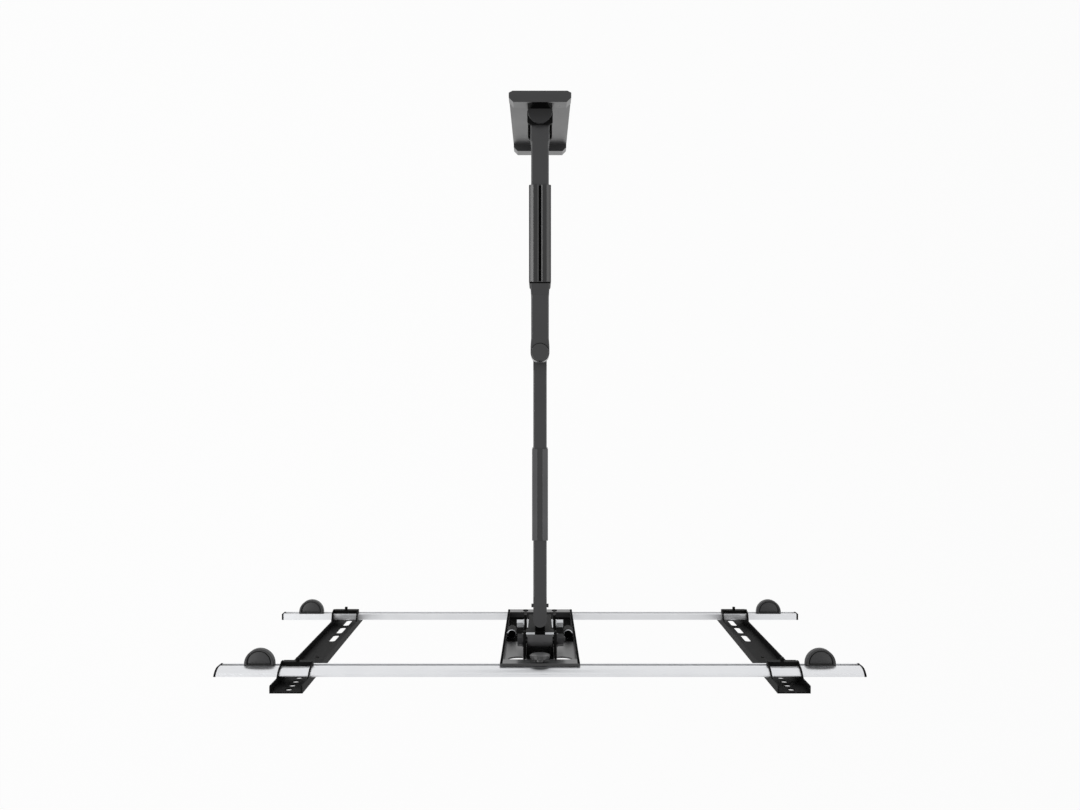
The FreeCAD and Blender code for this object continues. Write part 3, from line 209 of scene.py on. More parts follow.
def loft(name, *stacks):
    """One mesh of skins, each carried through a stack of rings of equal count and closed by its first and
    last ring. Point (i, j) of a stack is corner j of ring i, and a face joins it to its neighbours."""
    points, faces, base = [], [], 0
    for stack in stacks:
        rings = np.stack(stack)
        count, around = rings.shape[:2]
        index = base + np.arange(count * around).reshape(count, around)
        low, high = index[:-1], index[1:]
        quads = np.stack([low, np.roll(low, -1, 1), np.roll(high, -1, 1), high], 2).reshape(-1, 4)
        faces += quads.tolist() + [index[0][::-1].tolist(), index[-1].tolist()]
        points.append(rings.reshape(-1, 3) / 1000)
        base += count * around
    mesh = bpy.data.meshes.new(name)
    mesh.from_pydata(np.concatenate(points).tolist(), [], faces)
    mesh.polygons.foreach_set("use_smooth", np.ones(len(mesh.polygons), bool))
    mesh.set_sharp_from_angle(angle=np.radians(32))
    piece = bpy.data.objects.new(name, mesh)
    bpy.context.collection.objects.link(piece)
    return piece


def fit(piece, body, slot, material, *replaced):
    """Finishes a piece with a material, ties it to a body and lets it stand for CAD nodes."""
    piece.data.materials.append(material)
    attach(piece, body)
    if replaced:
        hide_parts(*replaced)


# Dip primer: a thin matt film that reflects so little that it looks nearly black, with 1.5 mm flecks.
# On the yoke and the tilt cheeks this near-black is also painted shade, under the lid and by the knob.
dull_coat_and_painted_shade = surface(
    "dip_primed_sheet_and_painted_shade",
    colours=("#0a0a0a", "#111111"),
    roughness=(0.5, 0.65),
    patch=1.5,
    grain=0.9,
    depth=0.05,
    strength=0.1,
    Specular_IOR_Level=0.06,
)
low, high = span("wall_yoke")
washers_low, washers_high = span("wall_pivot_washers")
side, front, back = high[0], low[1], high[1]
waist, waist_end, flare_end, sheet, edge = 7.5, -11.5, -21.5, 3.0, 0.3
half_ear = [(waist, back, 0.1), (waist, waist_end, 4.0), (side, flare_end, 5.0), (side, front, 3.0)]
ear = rounded(mirrored(half_ear, (-1, 1, 1)))
tongue = rounded(mirrored([(side, back, 0.1), (side, front, 3.0)], (-1, 1, 1)))
web = oblong((-side, back - sheet), (side, back), 0.2)
yoke = loft(
    "folded_yoke",
    carried("z", ear, 0, (washers_high[2], 0), (high[2] - edge, 0), (high[2], edge)),
    carried("z", tongue, 0, (low[2], edge), (low[2] + edge, 0), (washers_low[2], 0)),
    carried("z", web, 0.2, (low[2], 0), (washers_high[2], 0)),
)
# The yoke's near-black is partly painted shade, for the shade under the pivot lid.
fit(yoke, "wall_bracket", "black_steel", dull_coat_and_painted_shade, "wall_yoke")

# Wall pivot
# A headed pin through the yoke's ears with a nut below, turned from steel. A black plug on the rear
# half of its head is painted shade, and a dished lid covers the front half. Nylon washers part the arm
# from the ears.

# Black oxide: a hot bath leaves a thin stain, so the eye gets dark metal with a dull gleam.
black_oxide = surface(
    "black_oxide_steel",
    colours=("#262627", "#353537"),
    roughness=(0.3, 0.45),
    patch=4,
    grain=0.6,
    depth=0.03,
    strength=0.1,
    Metallic=0.4,
)
coat(black_oxide, "wall_pivot_pin", "wall_pivot_nut")

# Natural nylon, turned: cream and slightly waxy, clouded in 3 mm patches.
nylon = surface(
    "turned_natural_nylon",
    colours=("#b3b0a6", "#c4c1b8"),
    roughness=(0.4, 0.5),
    patch=3,
    grain=0.5,
    depth=0.03,
    strength=0.1,
    IOR=1.53,
)
coat(nylon, "wall_pivot_washers", "wall_pivot_bushes")


def pivot_y(joint):
    """A hinge's place along the stretched arm in millimetres."""
    return next(row["pos_m"][1] for row in frame["joints"] if row["name"] == joint) * 1000


def sector(radius, centre, chord, above, steps=48):
    """A circle cut by a level chord: the part above it, or the part below it."""
    start = np.arcsin((chord - centre) / radius)
    end = np.pi - start if above else -np.pi - start
    angle = np.linspace(start, end, steps)
    return leftward(np.stack([np.cos(angle), np.sin(angle)], 1) * radius + (0, centre))


# Soot-filled rubber: matt and pure black, with a faint bloom; it gives back almost no light.
# Most pieces in it are painted shade: black things put where there is only shade.
black_rubber_and_painted_shade = surface(
    "matt_black_rubber_and_painted_shade",
    colours=("#040404", "#070707"),
    roughness=(0.8, 0.9),
    patch=2,
    grain=0.8,
    depth=0.05,
    strength=0.1,
    Specular_IOR_Level=0.02,
)
wall_pivot_y = pivot_y("wall_swivel")
low, high = span("wall_pivot_pin")
# The plug is painted shade: a black half-disc where the rear half of the head lies in shade.
shaded_half_radius = 11.05
shaded_half_seat = high[2] - 0.8
flat = wall_pivot_y + 3.6
shaded_half = sector(shaded_half_radius, wall_pivot_y, flat, True)
shaded_half = loft("pivot_shade_plug", carried("z", shaded_half, shaded_half_seat, (-2.9, 0), (0.2, 0)))
fit(shaded_half, "wall_bracket", "black_bolt", black_rubber_and_painted_shade)


def fade(material, axis, places, shares):
    """Multiplies a material's colour by a share that runs evenly from one place to another on an axis."""
    tree = material.node_tree
    spot = add(tree, "ShaderNodeSeparateXYZ", {"Vector": tree.nodes["Texture Coordinate"].outputs["Object"]})
    share = add(
        tree,
        "ShaderNodeMapRange",
        {"Value": spot.outputs[axis]},
        From_Min=places[0] / 1000,
        From_Max=places[1] / 1000,
        To_Min=shares[0],
        To_Max=shares[1],
    )
    factors = {0: tree.nodes["tone"].outputs["Color"], "Scale": share.outputs["Result"]}
    scaled = add(tree, "ShaderNodeVectorMath", factors, operation="SCALE")
    tree.links.new(scaled.outputs["Vector"], tree.nodes["Principled BSDF"].inputs["Base Color"])


# Lid: turned and blackened, with painted shade that is darkest at the flat side, by the cap, and lighter
# towards the round one.
lid_with_painted_shade = surface(
    "black_oxide_with_painted_shade",
    colours=("#1d1d1e", "#242425"),
    roughness=(0.35, 0.45),
    patch=4,
    grain=0.6,
    depth=0.03,
    strength=0.1,
    Specular_IOR_Level=0.3,
)
# Painted shade: the colour runs from a tenth at the flat side to 1.2 times at the round side.
fade(lid_with_painted_shade, "Y", (flat, low[1]), (0.1, 1.2))
lid_radius = high[0]
lid_centre = low[1] + lid_radius
lid = sector(lid_radius, lid_centre, flat, False, 96)
heart = np.array((0, lid_centre - 4.0))
rim = carried("z", lid, high[2], (-1.6, 0), (0.1, 0), (0.3, 0.2), (0.4, 0.6))
dish = [
    ring("z", high[2] + rise, heart + (lid - heart) * scale)
    for rise, scale in ((0.3, 0.9), (0.2, 0.5), (0.2, 0.05))
]
fit(loft("pivot_lid", rim + dish), "wall_bracket", "black_bolt", lid_with_painted_shade)


# Inner arm
# A box tube with a cast knuckle welded to each end. The wall knuckle turns on the wall pivot between
# the ears, and the elbow knuckle lies over the outer arm. All of it is powder-coated together.
def box_tube(name, node, corner):
    """A tube's outer skin: its rounded section carried from end to end."""
    low, high = span(node)
    section = oblong((low[2], low[0]), (high[2], high[0]), corner)
    return loft(name, carried("y", section, 0, (low[1], 0), (high[1], 0)))


def knuckle(name, node, pivot, tube_end):
    """A casting whose plan is round at its pivot and tapers to the tube: the plan carried upwards, drawn in
    along its edges by a quarter round that fades out towards the tube."""
    taper, flank, edge, fading = 8, 5, 1.6, 12
    low, high = span(node)
    wide, narrow = high[0], span("inner_arm_tube")[1][0]
    side = np.sign(pivot - tube_end)
    back, tip = tube_end + side * taper, pivot + side * wide
    half_plan = [(narrow, tube_end, 0.02), (wide, back, flank), (wide, tip, wide - 0.1)]
    plan = rounded(mirrored(half_plan, (-1, 1, 1)), 16)
    share = np.clip(np.abs(plan[:, 1] - tube_end) / fading, 0, 1)
    sweep = np.linspace(0, np.pi / 2, 6)
    rise, draw = edge * (1 - np.sin(sweep)), edge * (1 - np.cos(sweep))
    foot = carried("z", plan, low[2], *[(r, d * share) for r, d in zip(rise[::-1], draw[::-1])])
    top = carried("z", plan, high[2], *[(-r, d * share) for r, d in zip(rise, draw)])
    return loft(name, foot + top)


elbow_y = pivot_y("elbow")
low, high = span("inner_arm_tube")
inner_tube = box_tube("inner_tube_skin", "inner_arm_tube", 2.0)
wall_end = knuckle("wall_end_casting", "inner_wall_knuckle", wall_pivot_y, high[1])
elbow_end = knuckle("elbow_end_casting", "inner_elbow_knuckle", elbow_y, low[1])
fit(inner_tube, "inner_arm", "black_steel", powder_coat, "inner_arm_tube")
fit(wall_end, "inner_arm", "black_steel", powder_coat, "inner_wall_knuckle")
fit(elbow_end, "inner_arm", "black_steel", powder_coat, "inner_elbow_knuckle")

# Inner cable cover
# A split sleeve that snaps over the arm to hide the television's cables. It is moulded ABS with a slit
# along its top, sloping shoulders, and a slimmer closed collar at its elbow end. A black ring at the
# step is painted shade, and so is a black strip under the slit.
low, high = span("inner_cable_cover")
tube_side, tube_top = span("inner_arm_tube")[1][0], span("inner_arm_tube")[1][2]
top, floor = high[2], low[2]
half, inside = high[0] + 0.8, tube_side + 0.15
slit, roof, collar_length = 1.6, 1.85, 14
# Each row is a height, a place across the arm and the corner's radius, from the slit to the foot.
outer = [
    (top - roof, slit, 0.05),
    (top - 0.55, slit, 0.3),
    (top, 2.7, 0.8),
    (top, 6.8, 6.0),
    (top - 2.0, 11.0, 1.5),
    (top - 3.4, half, 2.0),
    (floor, half, 1.0),
]
inner = [(top - roof, -inside, 0.2), (floor + 1.1, -inside, 0.2)]
section = rounded(np.concatenate([mirrored(outer, (1, -1, 1)), mirrored(inner, (1, -1, 1))]), 10)
near, far = low[1] + collar_length, high[1]
ends = (near, 0.2), (near + 0.3, 0), (near + 0.6, 0), (far - 0.6, 0), (far - 0.3, 0), (far, 0.2)
sleeve = carried("y", section, 0, *ends)
wide, crown, base = high[0] - 0.75, top - 1.1, floor + 0.4
section = oblong((base, -wide), (crown, wide), 1.6)
collar = carried("y", section, low[1], (0, 0.72), (3, 0.6), (6, 0.3), (9, 0.05), (10, 0), (15, 0))
# Painted shade: a black ring at the step from sleeve to collar draws the dark line there.
step_shade = oblong((base, -half + 0.5), (top - 0.35, half - 0.5), 3.0)
step_shade = loft("cover_step_shade", carried("y", step_shade, near, (-1.2, 0.1), (0.1, 0)))
fit(step_shade, "inner_arm", "bumper_rubber", black_rubber_and_painted_shade)
# Gloss ABS: a polished mould leaves it smoother, so the flat top looks nearly black and the slopes catch
# the lamps.
gloss_abs = surface(
    "moulded_gloss_abs",
    colours=("#161617", "#1d1d1e"),
    roughness=(0.2, 0.28),
    patch=25,
    grain=0.8,
    depth=0.06,
    strength=0.06,
    IOR=1.54,
)
fit(loft("inner_cover_sleeve", sleeve), "inner_arm", "black_plastic", gloss_abs, "inner_cable_cover")
fit(loft("inner_cover_collar", collar), "inner_arm", "black_plastic", satin_abs)
# A strip of black rubber on the arm under the slit is painted shade, which keeps the slit dark.
foot, crest, half_strip = tube_top - 0.2, tube_top + 0.3, 1.5
strip = leftward([(foot, -half_strip), (crest, -half_strip), (crest, half_strip), (foot, half_strip)])
slit_shade = loft("cover_slit_shade", carried("y", strip, 0, (near + 1, 0), (far - 1, 0)))
fit(slit_shade, "inner_arm", "bumper_rubber", black_rubber_and_painted_shade)


# Elbow pivot
# A large low-headed bolt down through both arms with a nut underneath, its head coated with the arm.
# A black ring under the head is painted shade, a dark line round it; a plastic washer keeps the arms
# apart, and nylon bushes line the bore.
def turned(axis, centre, profile, around=64):
    """Rings of a turned shape: circles of each radius at each place of its profile along an axis."""
    angle = np.linspace(0, 2 * np.pi, around, endpoint=False)
    circle = np.stack([np.cos(angle), np.sin(angle)], 1)
    return [ring(axis, along, np.array(centre) + circle * radius) for radius, along in profile]


low, high = span("elbow_pivot_bolt")
seat = span("inner_elbow_knuckle")[1][2]
shank, head, head_shade_radius = 5.0, 9.8, 10.5
bolt = [
    (shank - 0.8, low[2]),
    (shank, low[2] + 0.8),
    (shank, seat - 0.5),
    (head, seat - 0.5),
    (head, high[2] - 0.6),
    (head - 0.15, high[2] - 0.2),
    (head - 0.5, high[2]),
    (head - 0.8, high[2]),
    (0.3, high[2]),
]
bolt = loft("elbow_bolt", turned("z", (0, elbow_y), bolt))
fit(bolt, "inner_arm", "black_bolt", powder_coat, "elbow_pivot_bolt")
# Painted shade: a black ring that peeks out under the head as a dark outline.
head_shade_ring = [(head_shade_radius, seat - 0.2), (head_shade_radius, seat + 0.3)]
head_shade_ring = loft("elbow_head_shade_ring", turned("z", (0, elbow_y), head_shade_ring))
fit(head_shade_ring, "inner_arm", "bumper_rubber", black_rubber_and_painted_shade)
coat(black_oxide, "elbow_pivot_nut")
coat(satin_abs, "elbow_washer")
coat(nylon, "elbow_bushes")

# Outer arm
# A slimmer box tube under the inner arm, with a round knuckle at the elbow and a fork at the
# television end, welded and powder-coated like the inner arm. A cross pin keeps the fork closed.
outer_tube = box_tube("outer_tube_skin", "outer_arm_tube", 1.8)
fit(outer_tube, "outer_arm", "black_steel", powder_coat, "outer_arm_tube")
coat(powder_coat, "outer_elbow_knuckle", "outer_arm_fork")
coat(black_oxide, "fork_cross_pin", "swivel_bolt")

# Outer cable cover
# A sleeve with two broad flat ribs along its top, open underneath so that it springs over the tube.
# It is moulded in the same ABS as the caps.
low, high = span("outer_cable_cover")
top, floor, side, far = high[2], low[2], high[0], high[1] - 1.2
inside, lip, wall = 8.15, 4.0, 0.8
# Each row is a height, a place across the arm and the corner's radius, from the groove round to the tube.
half_section = [
    (top - wall, 2.9, 0.3),
    (top, 3.2, 0.35),
    (top, side, 1.2),
    (floor, side, 1.0),
    (floor, lip, 0.2),
    (floor + wall, lip, 0.2),
    (floor + wall, inside, 0.2),
    (top - 2 * wall, inside, 0.2),
]
section = rounded(mirrored(half_section, (1, -1, 1)), 6)
near = low[1]
ends = (near, 0.15), (near + 0.3, 0), (near + 0.6, 0), (far - 0.6, 0), (far - 0.3, 0), (far, 0.15)
cover = loft("outer_cover_sleeve", carried("y", section, 0, *ends))
# Satin ABS painted paler on the flat tops of the ribs and darker below them: a painted highlight where
# the light falls on them.
abs_with_lit_rib_tops = surface(
    "satin_abs_painted_rib_light",
    colours=("#29292a", "#303031"),
    roughness=(0.26, 0.36),
    patch=25,
    grain=0.8,
    depth=0.06,
    strength=0.1,
    IOR=1.54,
)
fade(abs_with_lit_rib_tops, "Z", (top - 0.5, top - 0.1), (0.7, 2.6))
fit(cover, "outer_arm", "black_plastic", abs_with_lit_rib_tops, "outer_cable_cover")

# Swivel head
# An upright barrel in the fork carries a plate with a level tilt barrel and two hanging ears. They are
# steel weldments, coated black; the plate's edges are ground bright. A black block in the gap between
# the fork and the plate is painted shade.
coat(powder_coat, "swivel_barrel")
coat(dull_coat_and_painted_shade, "swivel_bracket")
# Lit powder coat: the arms' coat painted paler, in 4 mm patches, as painted light on the tilt barrel.
lit_powder_coat = surface(
    "powder_coat_painted_light",
    colours=("#464647", "#505051"),
    roughness=(0.3, 0.4),
    patch=4,
    grain=1.2,
    depth=0.1,
    strength=0.12,
    IOR=1.5,
)
coat(lit_powder_coat, "tilt_barrel")

# Bright zinc plate: electroplated and blue-passivated, cool grey, with a soft mottle 2 mm across.
zinc = surface(
    "bright_zinc_plate",
    colours=("#c4c6c9", "#dfe1e3"),
    roughness=(0.3, 0.45),
    patch=2,
    grain=0.7,
    depth=0.03,
    strength=0.1,
    Metallic=1.0,
)
coat(zinc, "guide_bolt", "guide_nuts", "guide_spacers")
low, high = span("swivel_bracket")
front, rear, crest_half = high[1] - 2.8, high[1] - 0.2, 6.1
edges = []
for left, right in ((low[0] + 0.2, -crest_half - 0.1), (crest_half + 0.1, high[0] - 0.2)):
    strip = oblong((left, front), (right, rear), 0.4)
    edges.append(carried("z", strip, high[2], (-0.2, 0), (0.1, 0), (0.2, 0.15)))
ear_edge, ear_foot, ear_top = 15.2, -27.0, 23.0
for x in (-ear_edge, ear_edge):
    strip = oblong((x - 0.6, rear), (x + 0.6, rear + 0.35), 0.1)
    edges.append(carried("z", strip, 0, (ear_foot, 0), (ear_top, 0)))
fit(loft("ground_edges", *edges), "swivel_head", "zinc_steel", zinc)
crest = oblong((-crest_half, front - 0.1), (crest_half, rear + 0.1), 0.4)
crest = carried("z", crest, high[2], (-0.2, 0), (0.25, 0))
low, high = span("swivel_barrel")
# Painted shade: a black block that fills the gap between the fork's end and the plate.
gap_shade_half, gap_shade_depth = 5.8, 5.6
gap_shade = oblong((-gap_shade_half, low[1]), (gap_shade_half, low[1] + gap_shade_depth), 1.2)
gap_shade = loft("swivel_gap_shade", carried("z", gap_shade, high[2], (-12, 0), (-0.2, 0)), crest)
fit(gap_shade, "swivel_head", "bumper_rubber", black_rubber_and_painted_shade)

# Carrier
# A folded steel tray between the rails, with a cheek plate each side of the tilt barrel and two
# levelling sleeves welded in. Screws and slide nuts hold the rails to its tabs.
coat(powder_coat, "carrier_plate")
# The cheeks' near-black is partly painted shade, for the shade between them by the knob.
coat(dull_coat_and_painted_shade, "left_tilt_plate", "right_tilt_plate", "levelling_sleeves")
coat(black_oxide, "tilt_washers", "tilt_bolt", "tilt_nut")
coat(zinc, "carrier_slide_nuts", "knob_stud")
# Black sheets on the tray, on the lower part of both sides and all along its middle, are painted shade.
web = span("left_tilt_plate")[0][1]
cheek_inside, cheek_outside, tray_side = 16.7, 20.3, 42.7
shade_foot, side_top, middle_top = -203, -50, 77
shade_sheets = [
    oblong((shade_foot, left), (top, right), 1.0)
    for left, right, top in (
        (-tray_side, -cheek_outside, side_top),
        (-cheek_inside, cheek_inside, middle_top),
        (cheek_outside, tray_side, side_top),
    )
]
tray_shade = loft("tray_painted_shade", *[carried("y", sheet, web, (-0.1, 0), (0.25, 0)) for sheet in shade_sheets])
fit(tray_shade, "carrier", "bumper_rubber", black_rubber_and_painted_shade)
# A rubber edging covers the tray's side rims.
low, high = span("carrier_plate")
rim_inside, rim_outside, margin = 43.1, 45.9, 0.5
edging = []
for left, right in ((-rim_outside, -rim_inside), (rim_inside, rim_outside)):
    strip = oblong((low[2] + margin, left), (high[2] - margin, right), 0.3)
    edging.append(carried("y", strip, high[1], (-0.1, 0), (0.2, 0)))
fit(loft("tray_edging", *edging), "carrier", "bumper_rubber", black_rubber_and_painted_shade)
# The sleeves end in bright turned rings round black plugs.
low, high = span("levelling_sleeves")
sleeve_x, sleeve_y, sleeve_top = 36.6, (low[1] + high[1]) / 2, high[2]
places = [(-sleeve_x, sleeve_y), (sleeve_x, sleeve_y)]
ring_profile = [(6.1, sleeve_top - 0.1), (6.1, sleeve_top + 0.2), (5.9, sleeve_top + 0.3)]
plug_profile = [(5.0, sleeve_top + 0.1), (5.0, sleeve_top + 0.4)]
rings = loft("sleeve_rings", *[turned("z", place, ring_profile) for place in places])
plugs = loft("sleeve_plugs", *[turned("z", place, plug_profile) for place in places])
fit(rings, "carrier", "zinc_steel", zinc)
fit(plugs, "carrier", "bumper_rubber", black_rubber_and_painted_shade)
# The two carrier screws have low button heads and are dipped in the same primer as the cheeks.
low, high = span("carrier_screws")
screw_x, screw_z, seat = 20.7, (low[2] + high[2]) / 2, high[1] - 2.8
profile = [(2.4, low[1]), (2.4, seat), (3.8, seat), (3.8, seat + 0.5), (3.0, seat + 1.1), (0.3, seat + 1.3)]
screws = loft("button_screws", *[turned("y", (screw_z, x), profile, 32) for x in (-screw_x, screw_x)])
fit(screws, "carrier", "black_bolt", dull_coat_and_painted_shade, "carrier_screws")

# Locking knob
# A moulded ABS knob that screws down on a stud to clamp the top rail. Its rim is lightly scalloped for
# the fingers, and a disc is pressed into its face, painted paler as painted light on the face.
low, high = span("knob_head")
knob_z, knob_radius = (low[2] + high[2]) / 2, (high[2] - low[2]) / 2
hub, hub_radius, hub_length, face = low[1], 6.0, 4.0, high[1]
angle = np.linspace(0, 2 * np.pi, 192, endpoint=False)
circle = np.stack([np.cos(angle), np.sin(angle)], 1)
fingers, scallop_depth = 20, 0.03
scallop = scallop_depth * np.sin(fingers / 2 * angle)[:, None] ** 2
# Each row is a radius, the share of the scallops that it takes, and a place along the knob.
profile = [
    (hub_radius - 0.4, 0.0, hub),
    (hub_radius, 0.0, hub + 0.4),
    (hub_radius, 0.0, hub + hub_length),
    (knob_radius - 0.7, 1.0, hub + hub_length),
    (knob_radius, 1.0, hub + hub_length + 0.6),
    (knob_radius, 1.0, face - 0.8),
    (knob_radius - 0.2, 0.8, face - 0.3),
    (knob_radius - 0.8, 0.4, face),
    (knob_radius - 2.0, 0.0, face),
    (knob_radius - 2.6, 0.0, face - 0.5),
    (0.2, 0.0, face - 0.6),
]
knob = loft(
    "scalloped_knob",
    [
        ring("y", along, np.array((knob_z, 0)) + circle * radius * (1 - grip * scallop))
        for radius, grip, along in profile
    ],
)
fit(knob, "lock_knob", "black_plastic", satin_abs, "knob_head")
# Grey ABS: the caps' grain in a lighter colour, painted light for the knob's face, so that the disc
# stands out from the rim.
lit_grey_abs = surface(
    "grey_abs_painted_light",
    colours=("#545455", "#5e5e5f"),
    roughness=(0.3, 0.4),
    patch=10,
    grain=0.8,
    depth=0.06,
    strength=0.1,
    IOR=1.54,
)
disc_radius = knob_radius - 1.0
disc = [(disc_radius, face - 0.5), (disc_radius, face), (disc_radius - 0.3, face + 0.1), (0.3, face + 0.1)]
fit(loft("knob_face", turned("y", (knob_z, 0), disc)), "lock_knob", "black_plastic", lit_grey_abs)

# Rails
# Two aluminium extrusions, cut to length and clear-anodised, the lower one upside down. Each has a
# T-slot in its back and a round shoulder with two fine grooves. Moulded ABS caps close the ends.

# Anodised aluminium: a bright satin, streaked by the die's drawn lines along the rail's whole length.
# They are 0.8 mm apart, which is coarser than the real ones, so that they show.
anodised = surface(
    "clear_anodised_aluminium",
    colours=("#e2e3e6", "#ecedef"),
    roughness=(0.28, 0.36),
    patch=30,
    grain=0.8,
    depth=0.03,
    strength=0.05,
    Metallic=1.0,
)
tree = anodised.node_tree
place = {"Vector": tree.nodes["Texture Coordinate"].outputs["Object"]}
drawn = add(tree, "ShaderNodeMapping", place, Scale=(0.01, 1.0, 1.0))
tree.links.new(drawn.outputs["Vector"], tree.nodes["grain"].inputs["Vector"])


def extrusion(node, up):
    """A rail's section: a flat back with a T-slot, a shoulder that is part of a circle with two shallow
    grooves, and a flat front. up is 1, or -1 for the rail that is upside down."""
    low, high = span(node)
    rear, front = high[1], low[1]
    edge = low[2] if up > 0 else high[2]
    depth, height, rise, shoulder, chamfer = rear - front, 30.0, 7.0, 15.0, 0.4
    radius = (rise**2 + shoulder**2) / (2 * rise)
    sweep = np.linspace(np.arcsin(shoulder / radius), 0, 60)
    groove_depth, groove_width, upper, lower = 0.25, 0.02, 0.78, 0.12
    dips = np.exp(-(((sweep - lower) / groove_width) ** 2)) + np.exp(-(((sweep - upper) / groove_width) ** 2))
    bow = radius - groove_depth * dips
    arc = np.stack([rear - radius + bow * np.cos(sweep), height - shoulder + bow * np.sin(sweep)], 1)
    slot = [(0, 11.5), (-2, 11.5), (-2, 13.5), (-5, 13.5), (-5, 3.5), (-2, 3.5), (-2, 5.5), (0, 5.5)]
    foot = [(0, chamfer), (-chamfer, 0), (chamfer - depth, 0), (-depth, chamfer)]
    head = [(-depth, height - chamfer), (chamfer - depth, height)]
    section = np.concatenate([arc, np.array(slot + foot + head) + (rear, 0)])
    section[:, 1] = edge + up * section[:, 1]
    return carried("x", leftward(section), 0, (low[0], 0), (high[0], 0))


top_rail = loft("top_rail_extrusion", extrusion("top_rail", 1))
bottom_rail = loft("bottom_rail_extrusion", extrusion("bottom_rail", -1))
fit(top_rail, "rail_frame", "rail_aluminium", anodised, "top_rail")
fit(bottom_rail, "rail_frame", "rail_aluminium", anodised, "bottom_rail")
# Matt ABS: a blasted mould leaves a flecked skin that reflects so little that it looks nearly black.
matt_abs = surface(
    "moulded_matt_abs",
    colours=("#0a0a0a", "#111111"),
    roughness=(0.5, 0.65),
    patch=1.5,
    grain=0.9,
    depth=0.05,
    strength=0.1,
    Specular_IOR_Level=0.06,
)
coat(matt_abs, "left_end_caps", "right_end_caps")

# Wall bumpers
# Half-round rubber pads plugged into the rails' slots, so that the folded mount meets the wall softly.
# Each has a rounded rim, a groove and a lower panel on both faces.

# Bumper rubber: dark grey and matt, with a pebbled skin from the mould that spreads the light softly.
rubber = surface(
    "moulded_bumper_rubber",
    colours=("#232324", "#2c2c2d"),
    roughness=(0.45, 0.55),
    patch=1.5,
    grain=0.9,
    depth=0.1,
    strength=0.15,
    IOR=1.52,
)
pad_radius = 17.2
pad_base = span("top_rail")[1][1] + 0.05
pad_centre = span("wall_bumpers")[1][1] - pad_radius
bend = np.linspace(0, np.pi, 65)
arc = np.stack([np.cos(bend), np.sin(bend)], 1) * pad_radius + (0, pad_centre)
pad = leftward(np.concatenate([[(pad_radius, pad_base)], arc, [(-pad_radius, pad_base)]]))
heart = np.array((0, pad_base + 7.45))
# Each row is how far the upper face lies in from the rim and how high above the middle: the rim's round,
# the groove, then the panel.
upper = [(0.0, 3.9), (0.25, 4.4), (0.7, 4.7), (1.2, 4.75), (2.6, 4.75), (2.95, 4.5), (3.1, 4.0)]
upper += [(3.1, 1.6), (4.5, 1.6), (4.5, 3.0), (4.7, 3.4), (5.1, 3.5), (17.0, 3.5)]
profile = [(inset, -rise) for inset, rise in upper[::-1]] + upper
top_pads, bottom_pads = (323.0, 88.5), (329.0, -214.5)
pads = [
    [
        ring("z", height + rise, (side * x, 0) + heart + (pad - heart) * (1 - inset / pad_radius))
        for inset, rise in profile
    ]
    for x, height in (top_pads, bottom_pads)
    for side in (-1, 1)
]
fit(loft("bumper_pads", *pads), "rail_frame", "bumper_rubber", rubber, "wall_bumpers")

# Columns
# Folded channels that hook over both rails and take the television's bolts in their slots and holes.
# Thin steel sheet, dipped with its screws in the same dull primer as the yoke, and held to the rails by
# clamp bars and zinc-plated nuts.
coat(dull_coat_and_painted_shade, "left_column", "right_column", "left_clamp_bars", "right_clamp_bars")
coat(dull_coat_and_painted_shade, "left_clamp_screws", "right_clamp_screws")
coat(zinc, "left_clamp_nuts", "right_clamp_nuts")

# Studio
# A pale floor well below the mount, a pale surround that is dimmer overhead, and a soft box on each
# side, the left one stronger. Most of the floor's white comes from itself, so its shadow stays faint.
floor_height, floor_reach, own_white = -0.75, 40.0, 0.9
corners = np.array([(-1, -1, 0), (1, -1, 0), (1, 1, 0), (-1, 1, 0)]) * floor_reach + (0, 0, floor_height)
floor_mesh = bpy.data.meshes.new("floor")
floor_mesh.from_pydata(corners.tolist(), [], [(0, 1, 2, 3)])
floor = bpy.data.objects.new("floor", floor_mesh)
bpy.context.collection.objects.link(floor)
# Floor paint: rolled on, nearly white and quite matt. The camera and mirrors see it as plain white.
floor_paint = surface(
    "pale_floor_paint",
    colours=("#fafafa", "#ffffff"),
    roughness=(0.85, 0.95),
    patch=500,
    grain=10,
    depth=0.1,
    strength=0.05,
)
tree = floor_paint.node_tree
ray = add(tree, "ShaderNodeLightPath").outputs
kinds = {0: ray["Is Glossy Ray"], 1: ray["Is Transmission Ray"]}
mirrors = add(tree, "ShaderNodeMath", kinds, operation="MAXIMUM").outputs[0]
seen = add(tree, "ShaderNodeMath", {0: mirrors, 1: ray["Is Camera Ray"]}, operation="MAXIMUM").outputs[0]
share = add(tree, "ShaderNodeMapRange", {"Value": seen}, To_Max=own_white).outputs["Result"]
paint = tree.nodes["Principled BSDF"].outputs["BSDF"]
white = add(tree, "ShaderNodeEmission", Strength=1.0).outputs["Emission"]
mix = add(tree, "ShaderNodeMixShader", {0: share, 1: paint, 2: white})
tree.links.new(mix.outputs[0], tree.nodes["Material Output"].inputs["Surface"])
floor_mesh.materials.append(floor_paint)

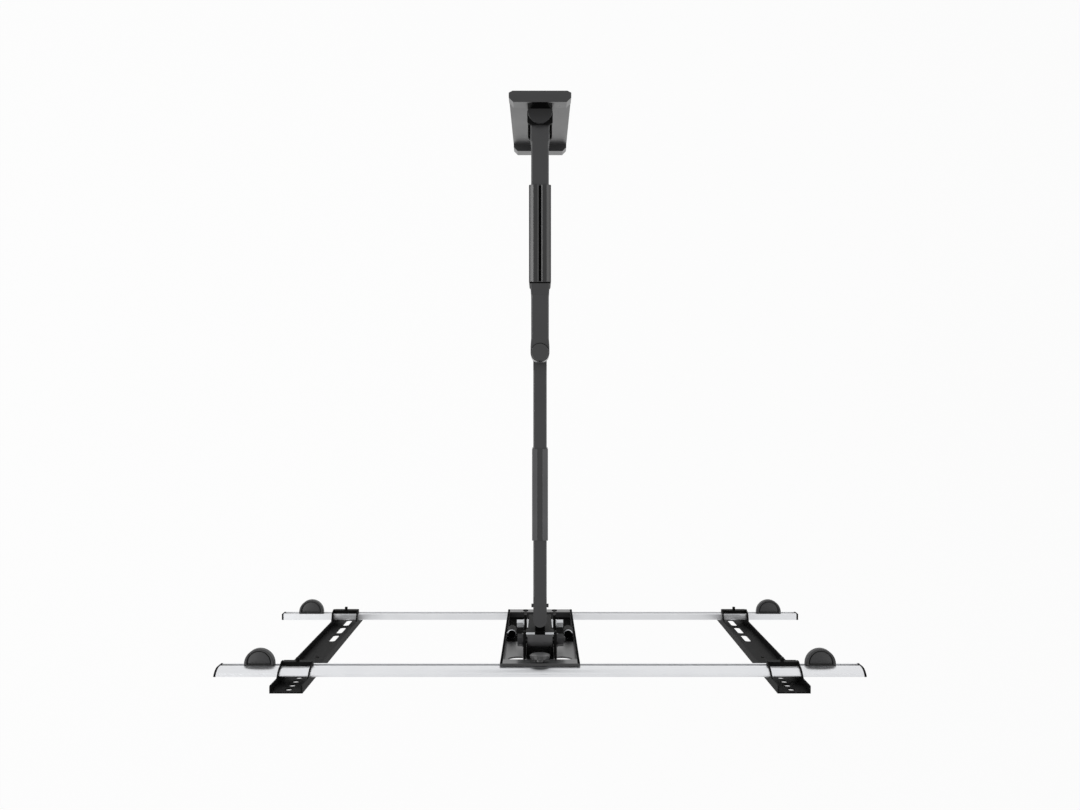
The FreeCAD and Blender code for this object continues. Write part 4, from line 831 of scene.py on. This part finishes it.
# The surround is white to the camera. Mirrors see it dimmer overhead, and it lights the mount less still.
overhead, lighting = 0.78, 0.6
world = bpy.data.worlds.new("pale_surround")
bpy.context.scene.world = world
world.use_nodes = True
tree = world.node_tree
tree.nodes.clear()
ray = add(tree, "ShaderNodeLightPath").outputs
kinds = {0: ray["Is Glossy Ray"], 1: ray["Is Transmission Ray"]}
mirrors = add(tree, "ShaderNodeMath", kinds, operation="MAXIMUM").outputs[0]
shade = add(tree, "ShaderNodeMapRange", {"Value": mirrors}, To_Min=lighting, To_Max=1.0).outputs["Result"]
way = {"Vector": add(tree, "ShaderNodeTexCoord").outputs["Generated"]}
height = add(tree, "ShaderNodeSeparateXYZ", way).outputs["Z"]
dome = add(tree, "ShaderNodeMapRange", {"Value": height}, To_Min=1.0, To_Max=overhead).outputs["Result"]
dimmed = add(tree, "ShaderNodeMath", {0: dome, 1: shade}, operation="MULTIPLY").outputs[0]
level = add(tree, "ShaderNodeMath", {0: dimmed, 1: ray["Is Camera Ray"]}, operation="MAXIMUM").outputs[0]
sky = add(tree, "ShaderNodeBackground", {"Strength": level}, Color=linear("#ffffff"))
add(tree, "ShaderNodeOutputWorld", {"Surface": sky.outputs["Background"]})

lamp_reach, lamp_y, lamp_height, lamp_lean = 1.55, -0.35, 1.37, np.radians(51)
for side, watts in ((-1, 20), (1, 8)):
    box_light = bpy.data.lights.new(f"soft_box_{side}", "AREA")
    box_light.shape = "RECTANGLE"
    box_light.size = 0.6
    box_light.size_y = 2.4
    box_light.energy = watts
    lamp = bpy.data.objects.new(f"soft_box_{side}", box_light)
    lamp.location = (side * lamp_reach, lamp_y, lamp_height)
    lamp.rotation_euler = (0, side * lamp_lean, 0)
    bpy.context.collection.objects.link(lamp)

# Camera
# Straight above the middle of the mount and looking down, with the wall at the top of the frame. The
# lens and the height give the photograph's framing and perspective.
camera_data = bpy.data.cameras.new("camera")
camera_data.sensor_width = 36.0
camera_data.lens = 35.0
camera = bpy.data.objects.new("camera", camera_data)
camera.location = (0, -0.3515, 1.299)
bpy.context.collection.objects.link(camera)
bpy.context.scene.camera = camera
bpy.context.scene.view_settings.view_transform = "Standard"
